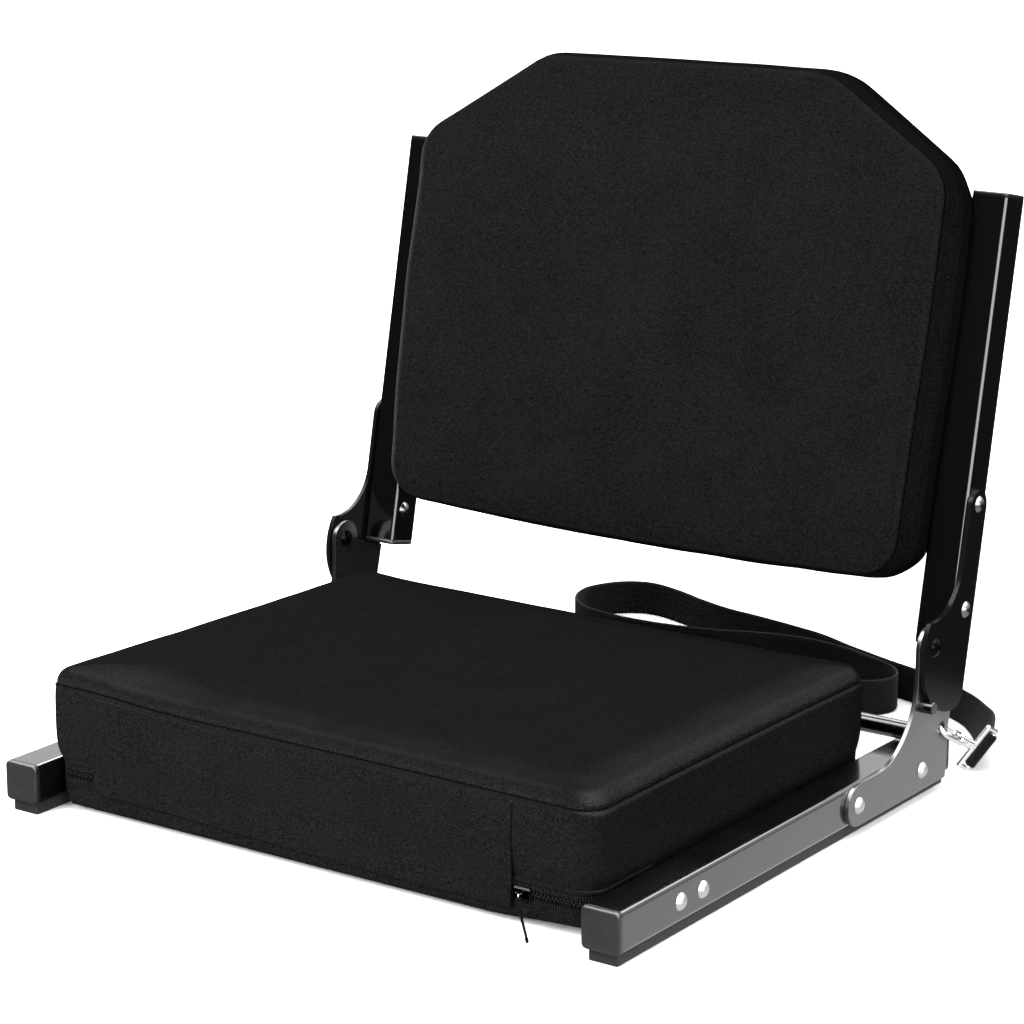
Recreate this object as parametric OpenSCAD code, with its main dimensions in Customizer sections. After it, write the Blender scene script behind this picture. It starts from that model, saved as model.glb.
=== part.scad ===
// Folding bleacher seat: two square base tubes with a padded seat between them, and a padded back that
// folds forward on riveted steel plates. Front faces -Y, up is +Z, and Z = 0 is the surface it stands on.

/* [Base] */
// Width over the outer faces of the base tubes
seat_w = 450; // [420:1:520]
// Length of a base tube over both end caps
base_len = 380; // [376:1:400]
// Side of the square tube
tube = 25; // [24:0.5:27]
// Wall of the square tube
tube_wall = 1.5; // [1:0.1:2.5]
// Outer corner radius of the square tube
tube_r = 3; // [2:0.1:4]
// Thickness of a base cap's face
base_cap_t = 4; // [2:0.5:5]
// Depth of a cap's plug inside the tube
plug_len = 14; // [8:1:18]
// Wall of a cap's plug
plug_wall = 2; // [1:0.1:3]
// Height of the rubber strip under each base tube
strip_h = 7.5; // [6:0.1:9]
// Width of the rubber strip
strip_w = 19; // [12:0.5:19]
// Distance of the rubber strip's ends from the ends of the base
strip_inset = 3.5; // [1:0.5:5]

/* [Plates and pivot] */
// Thickness of the lower and upper steel plates
plate_t = 3; // [2:0.1:4]
// Gap between the plates, filled by a washer
plate_gap = 1; // [0.8:0.1:1.5]
// Distance of the pivot ahead of the rear of the base
pivot_ahead = 37.6; // [35:0.1:42]
// Gap between the folded back cushion and the seat cushion's crown
fold_gap = 5.6; // [3:0.1:12]
// Backward lean of the back when it is open
recline = 11.8; // [8:0.1:14]
// Radius of the pivot pin
pin_r = 4; // [3:0.1:5]
// Radius of the pivot pin's heads
pin_head_r = 6; // [5.5:0.1:7]
// Radius of the lower plate's knuckle round the pivot
knuckle_r = 12.5; // [12:0.1:14]
// Distance of the lower plate's front rivet ahead of the rear of the base
plate_front_ahead = 121.7; // [118:0.1:130]
// Distance of the lower plate's rear rivet ahead of the rear of the base
plate_rear_ahead = 42; // [35:0.5:50]
// Radius of the lower plate's front end
plate_end_r = 13; // [12.5:0.1:13.5]
// Radius of the sweep in the lower plate's front edge
sweep_r = 50; // [42:0.5:52]
// Distance of the lower plate's rear edge ahead of the rear of the base
plate_back_ahead = 11; // [9:0.5:13]
// Radius of the stop peg
peg_r = 4; // [3:0.1:4.5]
// Length of the stop peg outside the lower plate
peg_len = 8.5; // [7:0.1:12]
// Drop of the stop peg below the pivot
peg_drop = 36.4; // [34.6:0.1:38]
// Radius of the upper plate's big lobe
lobe_r = 39.5; // [38:0.1:41]
// Radius of the concave edge above the pivot on the upper plate
hollow_r = 35; // [32:0.5:38]
// Width of the upper plate's straight part
strap_plate_w = 21.5; // [19:0.5:22]
// Height of the upper plate above the pivot, along the upright
upper_plate_len = 98; // [98:1:110]
// Corner radius at the upper plate's lower rear end
lobe_corner_r = 12; // [8:0.5:14]

/* [Rivets] */
// Radius of a rivet's domed head
head_r = 5.25; // [4.5:0.05:5.5]
// Height of a rivet's domed head
head_h = 3; // [2:0.1:3.5]
// Radius of a rivet's shank
shank_r = 3; // [2:0.1:3.5]
// Thickness of a rivet's flat head on the inner side
flat_head_t = 1.2; // [0.8:0.1:1.4]
// Distance of the first front rivet behind the front of the base
front_rivet_y = 62.7; // [58:0.1:66]
// Distance between the two front rivets
front_rivet_pitch = 23.3; // [20:0.1:26]

/* [Cross members] */
// Radius of the crossbar and the back rails
bar_r = 6; // [5:0.1:6.5]
// Wall of the crossbar and the back rails
bar_wall = 1.2; // [0.8:0.1:2]
// Distance of the crossbar ahead of the rear of the base
crossbar_ahead = 31; // [28:0.5:34]
// Gap between the crossbar and the top of the base tubes
crossbar_lift = 1; // [0.5:0.1:3]
// Thickness of a cross strap
cross_t = 2.5; // [2:0.1:3]
// Height of a cross strap above the floor
cross_z = 5; // [3:0.1:6]
// Width of the front cross strap
front_cross_w = 45; // [42:1:60]
// Width of the rear cross strap
rear_cross_w = 40; // [30:1:60]
// Height of the lower back rail above the pivot, along the uprights
rail_low_s = 60; // [56:1:80]
// Height of the upper back rail above the pivot, along the uprights
rail_high_s = 250; // [220:1:258]

/* [Uprights] */
// Distance of an upright's front face behind the pivot
upright_front = 25; // [24:0.1:28]
// Length of an upright over its caps
upright_len = 283; // [270:1:300]
// Distance of an upright's lower end below the pivot, along the upright
upright_drop = 1.5; // [0.5:0.1:2]
// Thickness of an upright cap's face
upright_cap_t = 3; // [2:0.1:4]
// Height of the upright's lower rivet above the pivot, along the upright
rivet_low_s = 23; // [18:0.5:28]
// Height of the upright's upper rivet above the pivot, along the upright
rivet_high_s = 89; // [84:0.5:89]

/* [Seat cushion] */
// Gap between the seat cushion and the base tubes at the seam
seat_gap = 2.5; // [2:0.1:6]
// Front of the seat cushion behind the front of the base
seat_front_y = 18; // [14:0.5:20]
// Rear of the seat cushion ahead of the rear of the base
seat_rear_ahead = 54; // [52:0.5:65]
// Height of the top seam above the floor
seat_seam_z = 77; // [70:0.5:78]
// Rise of the crown above the top seam
seat_crown = 12; // [6:0.5:12.5]
// Corner radius of the seat cushion, seen from above
seat_corner_r = 17; // [17:0.5:24]
// Thickness of the cover's cloth with its seams
cloth_t = 1.2; // [0.8:0.1:1.5]
// Thickness of the seat board
seat_board_t = 6; // [4:0.5:9]
// Distance of the seat board's edge from the cover's edge
board_margin = 16; // [16:0.5:22]
// Thickness of the hook-and-loop pads on the cross straps
grip_t = 1.5; // [1:0.1:3]
// Width of the hook-and-loop pads
grip_w = 25; // [20:1:30]
// Length of the hook-and-loop pads
grip_len = 300; // [200:5:330]

/* [Back cushion] */
// Gap between the back cushion's widest part and the uprights
back_gap = 5; // [4:0.5:12]
// Height of the back cushion's bottom above the pivot, along the back
back_bottom_s = 36.5; // [34:0.5:38]
// Height of the back cushion's shoulders above the pivot, along the back
back_shoulder_s = 286; // [270:1:300]
// Height of the back cushion's top above the pivot, along the back
back_top_s = 343; // [325:1:360]
// Taper of the back cushion on each side, from its widest part to its bottom
back_taper = 6; // [2:1:12]
// Width of each cut shoulder of the back cushion
shoulder_cut = 93; // [80:1:110]
// Front seam of the back cushion behind the pivot
back_seam_p = 3; // [2:0.1:4]
// Rear of the back cushion behind the pivot
back_rear_p = 32; // [30:0.1:32]
// Rise of the back cushion's crown in front of its seam
back_crown = 7; // [4:0.1:7.5]
// Thickness of the back board
back_board_t = 5; // [3:0.1:8]
// Width of the webbing loops that hold the back cushion on its rails
loop_w = 30; // [20:1:40]
// Thickness of those loops
loop_t = 1.4; // [1:0.1:1.6]
// Distance of the webbing loops from the middle
loop_x = 110; // [80:1:150]

/* [Zip] */
// Height of the zip above the floor
zip_z = 22; // [21:0.1:23]
// Distance of the zip's ends from the sides of the seat cushion
zip_end_gap = 21.5; // [20:0.5:27]
// Half the height of the zip's tape
tape_half = 6.5; // [5:0.1:7]
// Half the height of the zip's chain
chain_half = 1.7; // [1.2:0.1:2]
// Distance of the flap's left edge from the left side of the seat cushion
flap_left_gap = 29.5; // [28:0.5:38]
// Distance of the flap's right edge from the right side of the seat cushion
flap_right_gap = 55.5; // [55:0.5:80]
// Lower edge of the front flap
flap_z = 12.5; // [11.5:0.1:13]
// Length of the zip slider
slider_len = 10; // [8:0.1:12]
// Travel of the zip slider to the right
slider_travel = 22; // [15:0.5:22]
// Radius of the zip's pull
pull_r = 0.9; // [0.7:0.05:1.1]

/* [Strap and hooks] */
// Width of the webbing
web_w = 25; // [20:0.5:26]
// Thickness of the webbing
web_t = 1.5; // [1.2:0.1:1.8]
// Radius of the hook's and the ring's wire
wire_r = 1.75; // [1.5:0.05:1.9]
// Half the inner width of the hook
hook_half = 5.5; // [5.3:0.1:6]
// Radius of the hook's hole in the lower plate
hook_hole_r = 4.5; // [4.3:0.1:5]
// Length of the hook from its crown to its neck
hook_len = 27; // [26:0.5:28]
// Length of the hook's neck
neck_len = 14; // [12:0.5:16]
// Radius of the hook's neck
neck_r = 3.2; // [2.8:0.1:3.6]
// Distance between the ring's two long bars
ring_depth = 10; // [9:0.5:12]
// Half the inner length of the ring's slot
ring_half = 13.25; // [13.2:0.05:13.6]

/* [Hidden] */

FINE = 48;
SMALL = 32;
// Clearances: parts that are fixed together, parts that turn, and parts that pass each other
fixed_gap = 0.02;
turn_gap = 0.05;
pass_gap = 0.3;

outer_x = seat_w / 2;
tube_z = strip_h + tube / 2;
tube_top = strip_h + tube;
lower_in = outer_x;
lower_out = lower_in + plate_t;
upper_in = lower_out + plate_gap;
upper_out = upper_in + plate_t;
pivot_y = base_len - pivot_ahead;
pivot_z = seat_seam_z + seat_crown + fold_gap + back_crown - back_seam_p;
plate_front_y = base_len - plate_front_ahead;
plate_rear_y = base_len - plate_rear_ahead;
plate_back_y = base_len - plate_back_ahead;
crossbar_y = base_len - crossbar_ahead;
seat_rear_y = base_len - seat_rear_ahead;
back_half_w = upper_in - tube - back_gap;
back_bottom_half = back_half_w - back_taper;
back_top_half = back_half_w - shoulder_cut;
front_rivets = [front_rivet_y, front_rivet_y + front_rivet_pitch];
plate_rivets = [rivet_low_s, rivet_high_s];
upright_back = upright_front + tube;
upright_foot = -upright_drop;
upright_top = upright_foot + upright_len;
// The origin is under the middle of the whole seat, so the base's front lies at y = -mid_y
mid_y = (pivot_y + upright_back * cos(recline) + upright_top * sin(recline)) / 2;

// Places measured from the front of the base
module at_base() translate([0, -mid_y, 0]) children();
// Places measured from the pivot: x across, y behind the back's plane, z up along the leaning back
module at_back() at_base() translate([0, pivot_y, pivot_z]) rotate([-recline, 0, 0]) children();
module on_side(right) mirror([right ? 0 : 1, 0, 0]) children();
module both_sides() for (right = [true, false]) on_side(right) children();
// Draws a profile given as (y, z) and makes it a plate from x0 to x1
module plate(x0, x1) translate([x0, 0, 0]) rotate([90, 0, 90]) linear_extrude(x1 - x0) children();
module rod_x(x0, x1, r, y, z)
    translate([x0, y, z]) rotate([0, 90, 0]) cylinder(r = r, h = x1 - x0, $fn = SMALL);

module rounded_rect(w, h, r) {
    square([w - 2 * r, h], center = true);
    square([w, h - 2 * r], center = true);
    for (sx = [-1, 1], sy = [-1, 1])
        translate([sx * (w / 2 - r), sy * (h / 2 - r)]) circle(r, $fn = SMALL);
}

module tube_profile() difference() {
    rounded_rect(tube, tube, tube_r);
    rounded_rect(tube - 2 * tube_wall, tube - 2 * tube_wall, tube_r - tube_wall / 2);
}

module plug_profile() {
    inner = tube - 2 * tube_wall - 2 * fixed_gap;
    difference() {
        rounded_rect(inner, inner, tube_r);
        rounded_rect(inner - 2 * plug_wall, inner - 2 * plug_wall, tube_r - plug_wall / 2);
    }
}

// A cap: its face lies below z = 0 and its plug above
module cap(face_t) {
    translate([0, 0, -face_t]) linear_extrude(face_t) rounded_rect(tube, tube, tube_r);
    linear_extrude(plug_len) plug_profile();
}

// A domed head that stands on z = 0
module dome(r, h) {
    ball = (r * r + h * h) / (2 * h);
    rotate_extrude($fn = FINE) intersection() {
        translate([0, h - ball]) circle(ball, $fn = 96);
        square([r, h]);
    }
}

// A rivet along x: domed head outside x1, shank to x0, flat head inside x0
module flat_rivet(x0, x1, y, z) {
    rod_x(x0, x1, shank_r, y, z);
    rod_x(x0 - flat_head_t, x0, head_r, y, z);
    translate([x1, y, z]) rotate([0, 90, 0]) dome(head_r, head_h);
}

// A rivet along x with a domed head at each end
module domed_rivet(x0, x1, y, z, r, shank) {
    rod_x(x0, x1, shank, y, z);
    translate([x1, y, z]) rotate([0, 90, 0]) dome(r, head_h);
    translate([x0, y, z]) rotate([0, -90, 0]) dome(r, head_h);
}

module holes_x(x0, x1, places, r) for (p = places) rod_x(x0, x1, r, p[0], p[1]);

// Base tubes, caps and strips
module base_tube(right) color("#1c1d1f") at_base() on_side(right) difference() {
    translate([outer_x - tube / 2, base_cap_t, tube_z]) rotate([-90, 0, 0])
        linear_extrude(base_len - 2 * base_cap_t) tube_profile();
    holes_x(outer_x - 2 * tube, outer_x + tube,
        [for (y = concat(front_rivets, [plate_front_y, plate_rear_y])) [y, tube_z]], shank_r + fixed_gap);
}
module base_tube_caps() color("#3f4042") at_base() both_sides() {
    translate([outer_x - tube / 2, base_cap_t, tube_z]) rotate([-90, 0, 0]) cap(base_cap_t);
    translate([outer_x - tube / 2, base_len - base_cap_t, tube_z]) rotate([90, 0, 0]) cap(base_cap_t);
}
module floor_strips() color("#202122") at_base() both_sides()
    translate([outer_x - tube / 2 - strip_w / 2, strip_inset, 0])
        cube([strip_w, base_len - 2 * strip_inset, strip_h]);

// Lower plates, with the pivot, the stop peg and the hook's hole
plate_low = tube_z - plate_end_r;
plate_high = tube_z + plate_end_r;
knuckle_y = pivot_y - knuckle_r;
sweep_c = [knuckle_y - sweep_r, plate_high + sweep_r];
// Corner of the plate just under the upright's lower end
rest_p = upright_front + 17;
rest_s = upright_foot - 2.5;
rest_y = pivot_y + rest_p * cos(recline) + rest_s * sin(recline);
rest_z = pivot_z - rest_p * sin(recline) + rest_s * cos(recline);
module lower_plate_profile() difference() {
    union() {
        translate([plate_front_y, tube_z]) circle(plate_end_r, $fn = FINE);
        translate([pivot_y, pivot_z]) circle(knuckle_r, $fn = FINE);
        polygon([[plate_front_y, plate_low], [plate_back_y, plate_low], [plate_back_y + 2, tube_top + 8],
            [rest_y, rest_z], [pivot_y, pivot_z], [knuckle_y, pivot_z], [knuckle_y, plate_high],
            [plate_front_y, plate_high]]);
        translate([sweep_c[0], plate_high]) square([sweep_r, sweep_r]);
    }
    translate(sweep_c) circle(sweep_r, $fn = 96);
}
module lower_bracket(right) color("#2a2b2d") at_base() on_side(right) difference() {
    plate(lower_in, lower_out) lower_plate_profile();
    rod_x(lower_in - 1, lower_out + 1, pin_r + fixed_gap, pivot_y, pivot_z);
    holes_x(lower_in - 1, lower_out + 1, [[plate_front_y, tube_z], [plate_rear_y, tube_z]],
        shank_r + fixed_gap);
    rod_x(lower_in - 1, lower_out + 1, peg_shank_r + fixed_gap, peg_y, peg_z);
    rod_x(lower_in - 1, lower_out + 1, hook_hole_r, hook_at[1], hook_at[2]);
}

// The stop peg touches the lobe of the upper plate, but for a clearance
lobe_c = [upright_front + 1, upright_foot];
lobe_y = pivot_y + lobe_c[0] * cos(recline) + lobe_c[1] * sin(recline);
lobe_z = pivot_z - lobe_c[0] * sin(recline) + lobe_c[1] * cos(recline);
peg_z = pivot_z - peg_drop;
peg_reach = lobe_r + peg_r + pass_gap;
peg_y = lobe_y - sqrt(peg_reach * peg_reach - (lobe_z - peg_z) * (lobe_z - peg_z));
peg_shank_r = 2.5;
module stop_pegs() color("#161718") at_base() both_sides() {
    rod_x(lower_out, lower_out + peg_len, peg_r, peg_y, peg_z);
    rod_x(lower_in, lower_out, peg_shank_r, peg_y, peg_z);
    rod_x(lower_in - flat_head_t, lower_in, peg_r, peg_y, peg_z);
}

// Crossbar and cross straps
crossbar_z = tube_top + crossbar_lift + bar_r;
module bar(x, y, z) difference() {
    rod_x(-x, x, bar_r, y, z);
    rod_x(-x - 1, x + 1, bar_r - bar_wall, y, z);
}
module crossbar() color("#1c1d1f") at_base() bar(lower_in, crossbar_y, crossbar_z);

cross_in = outer_x - tube - cross_t;
module cross_strap(y, w, rivets) color("#232426") at_base() difference() {
    union() {
        translate([-cross_in - cross_t, y - w / 2, cross_z]) cube([2 * (cross_in + cross_t), w, cross_t]);
        for (right = [true, false]) on_side(right)
            translate([cross_in, y - w / 2, cross_z]) cube([cross_t, w, tube_top - 2 - cross_z]);
    }
    for (right = [true, false]) on_side(right)
        holes_x(cross_in - 1, cross_in + cross_t + 1, [for (r = rivets) [r, tube_z]], shank_r + fixed_gap);
}
module front_cross_strap() cross_strap((front_rivets[0] + front_rivets[1]) / 2, front_cross_w, front_rivets);
module rear_cross_strap() cross_strap(plate_front_y, rear_cross_w, [plate_front_y]);

// Rivets of the base
module front_strap_rivets() color("silver") at_base() both_sides()
    for (y = front_rivets) flat_rivet(cross_in, outer_x, y, tube_z);
module bracket_rivets() color("silver") at_base() both_sides() {
    flat_rivet(cross_in, lower_out, plate_front_y, tube_z);
    flat_rivet(outer_x - tube, lower_out, plate_rear_y, tube_z);
}
module pivot_rivets() color("#151617") at_base() both_sides()
    domed_rivet(lower_in, upper_out + turn_gap, pivot_y, pivot_z, pin_head_r, pin_r);
washer_r = 9;
module pivot_washers() color("#d8d8d4") at_base() both_sides() difference() {
    rod_x(lower_out, upper_in - turn_gap, washer_r, pivot_y, pivot_z);
    rod_x(lower_out - 1, upper_in + 1, pin_r + turn_gap, pivot_y, pivot_z);
}

// Uprights with their plates, caps and rivets
rivet_p = upright_front - 1 + strap_plate_w / 2;
module upright(right) color("#1c1d1f") at_back() on_side(right) difference() {
    translate([upper_in - tube / 2, (upright_front + upright_back) / 2, upright_foot + upright_cap_t])
        linear_extrude(upright_len - 2 * upright_cap_t) tube_profile();
    holes_x(upper_in - 2 * tube, upper_in + tube, [for (s = plate_rivets) [rivet_p, s]], shank_r + fixed_gap);
}
module upright_caps() color("#26272a") at_back() both_sides() {
    translate([upper_in - tube / 2, (upright_front + upright_back) / 2, upright_foot + upright_cap_t])
        cap(upright_cap_t);
    translate([upper_in - tube / 2, (upright_front + upright_back) / 2, upright_top - upright_cap_t])
        mirror([0, 0, 1]) cap(upright_cap_t);
}

straight_p = upright_front - 1;
edge_p = straight_p + strap_plate_w;
hollow_c = [straight_p - hollow_r, rivet_low_s + 27];
corner_c = [edge_p - lobe_corner_r,
    lobe_c[1] - sqrt(pow(lobe_r - lobe_corner_r, 2) - pow(edge_p - lobe_corner_r - lobe_c[0], 2))];
corner_d = (corner_c - lobe_c) / norm(corner_c - lobe_c);
module upper_plate_profile() {
    difference() {
        union() {
            translate(lobe_c) circle(lobe_r, $fn = 128);
            translate([straight_p - 6, 0]) square([strap_plate_w + 6, hollow_c[1]]);
            translate([straight_p, 0]) square([strap_plate_w, upper_plate_len - strap_plate_w / 2]);
        }
        translate(hollow_c) circle(hollow_r, $fn = 96);
        translate([edge_p, -2 * lobe_r]) square([2 * lobe_r, 4 * lobe_r]);
        polygon([corner_c, corner_c + 2 * lobe_corner_r * corner_d, [2 * edge_p, corner_c[1] - 2 * lobe_r],
            [2 * edge_p, corner_c[1]]]);
    }
    translate(corner_c) circle(lobe_corner_r, $fn = FINE);
    translate([straight_p + strap_plate_w / 2, upper_plate_len - strap_plate_w / 2])
        circle(strap_plate_w / 2, $fn = FINE);
}
module upper_bracket(right) color("#19191b") at_back() on_side(right) difference() {
    plate(upper_in, upper_out) upper_plate_profile();
    rod_x(upper_in - 1, upper_out + 1, pin_r + turn_gap, 0, 0);
    holes_x(upper_in - 1, upper_out + 1, [for (s = plate_rivets) [rivet_p, s]], shank_r + fixed_gap);
}
module upright_rivets() color("silver") at_back() both_sides()
    for (s = plate_rivets) domed_rivet(upper_in - tube, upper_out, rivet_p, s, head_r, shank_r);

rail_p = back_rear_p + loop_t + pass_gap + bar_r;
module back_rail(s) color("#1c1d1f") at_back() bar(upper_in - tube, rail_p, s);

// Cushion forms. An outline is a list of corners, counter-clockwise, with a radius for each corner.
function left_of(u) = [-u[1], u[0]];
function unit(v) = v / norm(v);
function crossing(p, u, q, v) = p + u * cross(q - p, v) / cross(u, v);
function moved_in(c, d) = [for (i = [0:len(c) - 1]) let (n = len(c), a = c[(i + n - 1) % n], b = c[i],
    e = c[(i + 1) % n], u = unit(b - a), v = unit(e - b))
    crossing(a + d * left_of(u), u, b + d * left_of(v), v)];
// One ring of the form: arcs at the corners, and points along the sides that draw in by up to pull
function ring(corners, radii, d, pull, arc_n, run_n) = let (n = len(corners), c = moved_in(corners, d)) [
    for (i = [0:n - 1]) let (
        u = unit(c[i] - c[(i + n - 1) % n]), v = unit(c[(i + 1) % n] - c[i]),
        turn = acos(max(-1, min(1, u * v))), r = max(radii[i] - d, 2),
        centre_at = c[i] - u * r * tan(turn / 2) + left_of(u) * r,
        w = unit(c[(i + 2) % n] - c[(i + 1) % n]), next_turn = acos(max(-1, min(1, v * w))),
        next_r = max(radii[(i + 1) % n] - d, 2),
        run_from = c[i] + v * r * tan(turn / 2), run_to = c[(i + 1) % n] - v * next_r * tan(next_turn / 2),
        bow = pull * min(1, norm(run_to - run_from) / 200))
        each concat(
            [for (k = [0:arc_n]) let (a = turn * k / arc_n)
                centre_at - left_of(u) * r * cos(a) + u * r * sin(a)],
            [for (k = [1:run_n]) let (t = k / (run_n + 1))
                run_from + (run_to - run_from) * t + left_of(v) * 4 * t * (1 - t) * bow])];
// A closed form through rings given as levels of [move in, height, draw in]
module cushion(corners, radii, levels, arc_n, run_n) {
    rings = [for (l = levels) [for (p = ring(corners, radii, l[0], l[2], arc_n, run_n)) [p[0], p[1], l[1]]]];
    m = len(rings[0]);
    last = len(rings) - 1;
    middle = [for (k = [0:1]) (min([for (p = corners) p[k]]) + max([for (p = corners) p[k]])) / 2];
    points = concat([for (r = rings) each r],
        [[middle[0], middle[1], levels[0][1]], [middle[0], middle[1], levels[last][1]]]);
    faces = concat(
        [for (j = [0:last - 1], i = [0:m - 1]) let (a = j * m + i, b = j * m + (i + 1) % m)
            each [[a, a + m, b], [b, a + m, b + m]]],
        [for (i = [0:m - 1]) [i, (i + 1) % m, (last + 1) * m]],
        [for (i = [0:m - 1]) [last * m + (i + 1) % m, last * m + i, (last + 1) * m + 1]]);
    polyhedron(points, faces, convexity = 4);
}

// Seat cushion: bottom, drawn-in lower sides between the tubes, seam, and a crown that swells over the seam
seat_z = cross_z + cross_t + grip_t;
seat_x = outer_x - tube - seat_gap;
seat_low_in = cross_t + flat_head_t - seat_gap + 1.5;
seat_corners = [[-seat_x, seat_front_y], [seat_x, seat_front_y],
    [seat_x, seat_rear_y], [-seat_x, seat_rear_y]];
seat_radii = [for (i = [0:3]) seat_corner_r];
seat_draw = 1.5;
seat_levels = [[seat_low_in + 9, seat_z, 0], [seat_low_in + 4, seat_z + 1.5, 0], [seat_low_in, seat_z + 6, 0],
    [seat_low_in, tube_top + 1, 0], [1, tube_top + 7, seat_draw], [0, seat_seam_z - 2, seat_draw],
    [1, seat_seam_z, seat_draw],
    [0.6, seat_seam_z + seat_crown * 0.25, 1], [4, seat_seam_z + seat_crown * 0.6, 0],
    [11, seat_seam_z + seat_crown * 0.82, 0], [30, seat_seam_z + seat_crown * 0.93, 0],
    [80, seat_seam_z + seat_crown, 0]];
// The same form, thinner by t all round: levels below low move up, and those above high move down
function inside(levels, t, low, high) = [for (i = [0:len(levels) - 1]) let (l = levels[i])
    [l[0] + t, i < low ? l[1] + t : i > high ? l[1] - t : l[1], l[2]]];
module seat_cover() color("#222224") at_base() difference() {
    cushion(seat_corners, seat_radii, seat_levels, 5, 5);
    cushion(seat_corners, seat_radii, inside(seat_levels, cloth_t, 3, 6), 5, 5);
}
seat_board_z = seat_z + cloth_t;
foam_low = seat_board_z + seat_board_t + 0.5;
module seat_foam() color("#8f8f8a") at_base() intersection() {
    cushion(seat_corners, seat_radii, inside(seat_levels, cloth_t + pass_gap, 3, 6), 5, 5);
    translate([-seat_w, 0, foam_low]) cube([2 * seat_w, base_len, seat_seam_z + seat_crown]);
}
module seat_board() color("#b08a58") at_base()
    translate([0, (seat_front_y + seat_rear_y) / 2, seat_board_z + 0.3])
        linear_extrude(seat_board_t) rounded_rect(2 * (seat_x - board_margin),
            seat_rear_y - seat_front_y - 2 * board_margin, seat_corner_r - 3);
module seat_grip_pads() color("#303032") at_base()
    for (y = [(front_rivets[0] + front_rivets[1]) / 2, plate_front_y])
        translate([-grip_len / 2, y - grip_w / 2, cross_z + cross_t]) cube([grip_len, grip_w, grip_t]);

// Zip: a tape with its chain across the front, a slider on the chain, a pull on the slider, and the flap
zip_y = seat_front_y + seat_low_in;
zip_half = seat_x - zip_end_gap;
tape_t = 0.8;
chain_t = 0.9;
module zip_chain() color("#1b1b1c") at_base() {
    translate([-zip_half, zip_y - tape_t, zip_z - tape_half]) cube([2 * zip_half, tape_t, 2 * tape_half]);
    translate([-zip_half, zip_y - tape_t - chain_t - 0.2, zip_z - chain_half])
        cube([2 * zip_half, chain_t + 0.2, 2 * chain_half]);
}
chain_y = zip_y - tape_t - chain_t - 0.2;
flap_t = 1;
flap_left = seat_x - flap_left_gap;
flap_right = seat_x - flap_right_gap;
flap_y = seat_front_y - 0.3;
module front_flap() color("#222224") at_base() {
    translate([-flap_left, flap_y - flap_t, flap_z])
        cube([flap_right + flap_left, flap_t, seat_seam_z - 2 - flap_z]);
    translate([-flap_left, flap_y, seat_seam_z - 5]) cube([flap_right + flap_left, 0.2, 2.5]);
}
slider_x = flap_right + 1.8;
slider_t = 1;
lug_r = 1.6;
lug_y = chain_y - 0.2 - slider_t - lug_r;
lug_w = 1;
lug_gap = 2 * pull_r + 0.6;
slider_mid = slider_x + slider_len / 2;
module zip_slider() color("#9a9a9c") at_base() difference() {
    union() {
        translate([slider_x, chain_y - 0.2 - slider_t, zip_z - chain_half - 1.2])
            cube([slider_len, slider_t, 2 * chain_half + 2.4]);
        for (z = [zip_z - chain_half - 1.2, zip_z + chain_half + 0.25])
            translate([slider_x, chain_y - 0.3, z]) cube([slider_len, chain_t + 0.3, 0.95]);
        for (x = [-1, 1]) translate([slider_mid + x * (lug_gap + lug_w) / 2 - lug_w / 2, lug_y, zip_z]) {
            rotate([0, 90, 0]) cylinder(r = lug_r, h = lug_w, $fn = SMALL);
            translate([0, 0, -lug_r]) cube([lug_w, lug_r + slider_t / 2, 2 * lug_r]);
        }
    }
}

// The pull hangs on a pin between the slider's lugs, and its cord leans forward to the floor
pull_eye_r = lug_r - 0.1;
pull_bend = [0, -3, -4];
pull_end = [15, -14, 1.7 - zip_z];
module zip_pull() color("#202022") at_base()
    translate([slider_mid, lug_y, zip_z]) {
        rotate([0, 90, 0]) cylinder(r = pull_eye_r, h = lug_gap - 0.3, center = true, $fn = SMALL);
        rod([0, 0, 0], pull_bend, pull_r);
        translate(pull_bend) sphere(1.1 * pull_r, $fn = SMALL);
        rod(pull_bend, pull_end, pull_r);
    }

// A round rod from p to q
module rod(p, q, r) {
    v = q - p;
    translate(p) rotate([0, acos(v[2] / norm(v)), atan2(v[1], v[0])])
        cylinder(r = r, h = norm(v), $fn = SMALL);
}
// Turns that carry the axes onto three unit vectors
function turns(a, b, c) = [atan2(b[2], c[2]), -asin(a[2]), atan2(a[1], a[0])];

// Hook frame: a runs from the ring to the hook's crown, b across the hook, n square to both.
// The crown passes through the lower plate's hole, and the inner side stays above the base tube.
hook_at = [outer_x + plate_t / 2, base_len - 18, tube_top + 8.5];
hook_d = unit([4.5, 39, -22]);
hook_b_x = -0.75;
hook_b_k = [0.0865, 0.564];
hook_b_z = (-hook_b_k[0] * hook_b_k[1] + sqrt(pow(hook_b_k[0] * hook_b_k[1], 2)
    + (1 + pow(hook_b_k[1], 2)) * (1 - pow(hook_b_x, 2) - pow(hook_b_k[0], 2)))) / (1 + pow(hook_b_k[1], 2));
hook_b = unit([hook_b_x, hook_b_k[0] + hook_b_k[1] * hook_b_z, hook_b_z]);
hook_n = cross(-hook_d, hook_b);
module at_hook() at_base() translate(hook_at) rotate(turns(-hook_d, hook_b, hook_n))
    translate([-hook_len, 0, 0]) children();
crown_a = hook_len - hook_half;
nose_a = 15.6;
gate_pin = [3.4, 2.6];
gate_r = 1.2;
gate_eye_r = 2.1;
gate_pin_r = 1;
ear_gap = gate_r + 0.2;
ear_t = 1;
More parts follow.
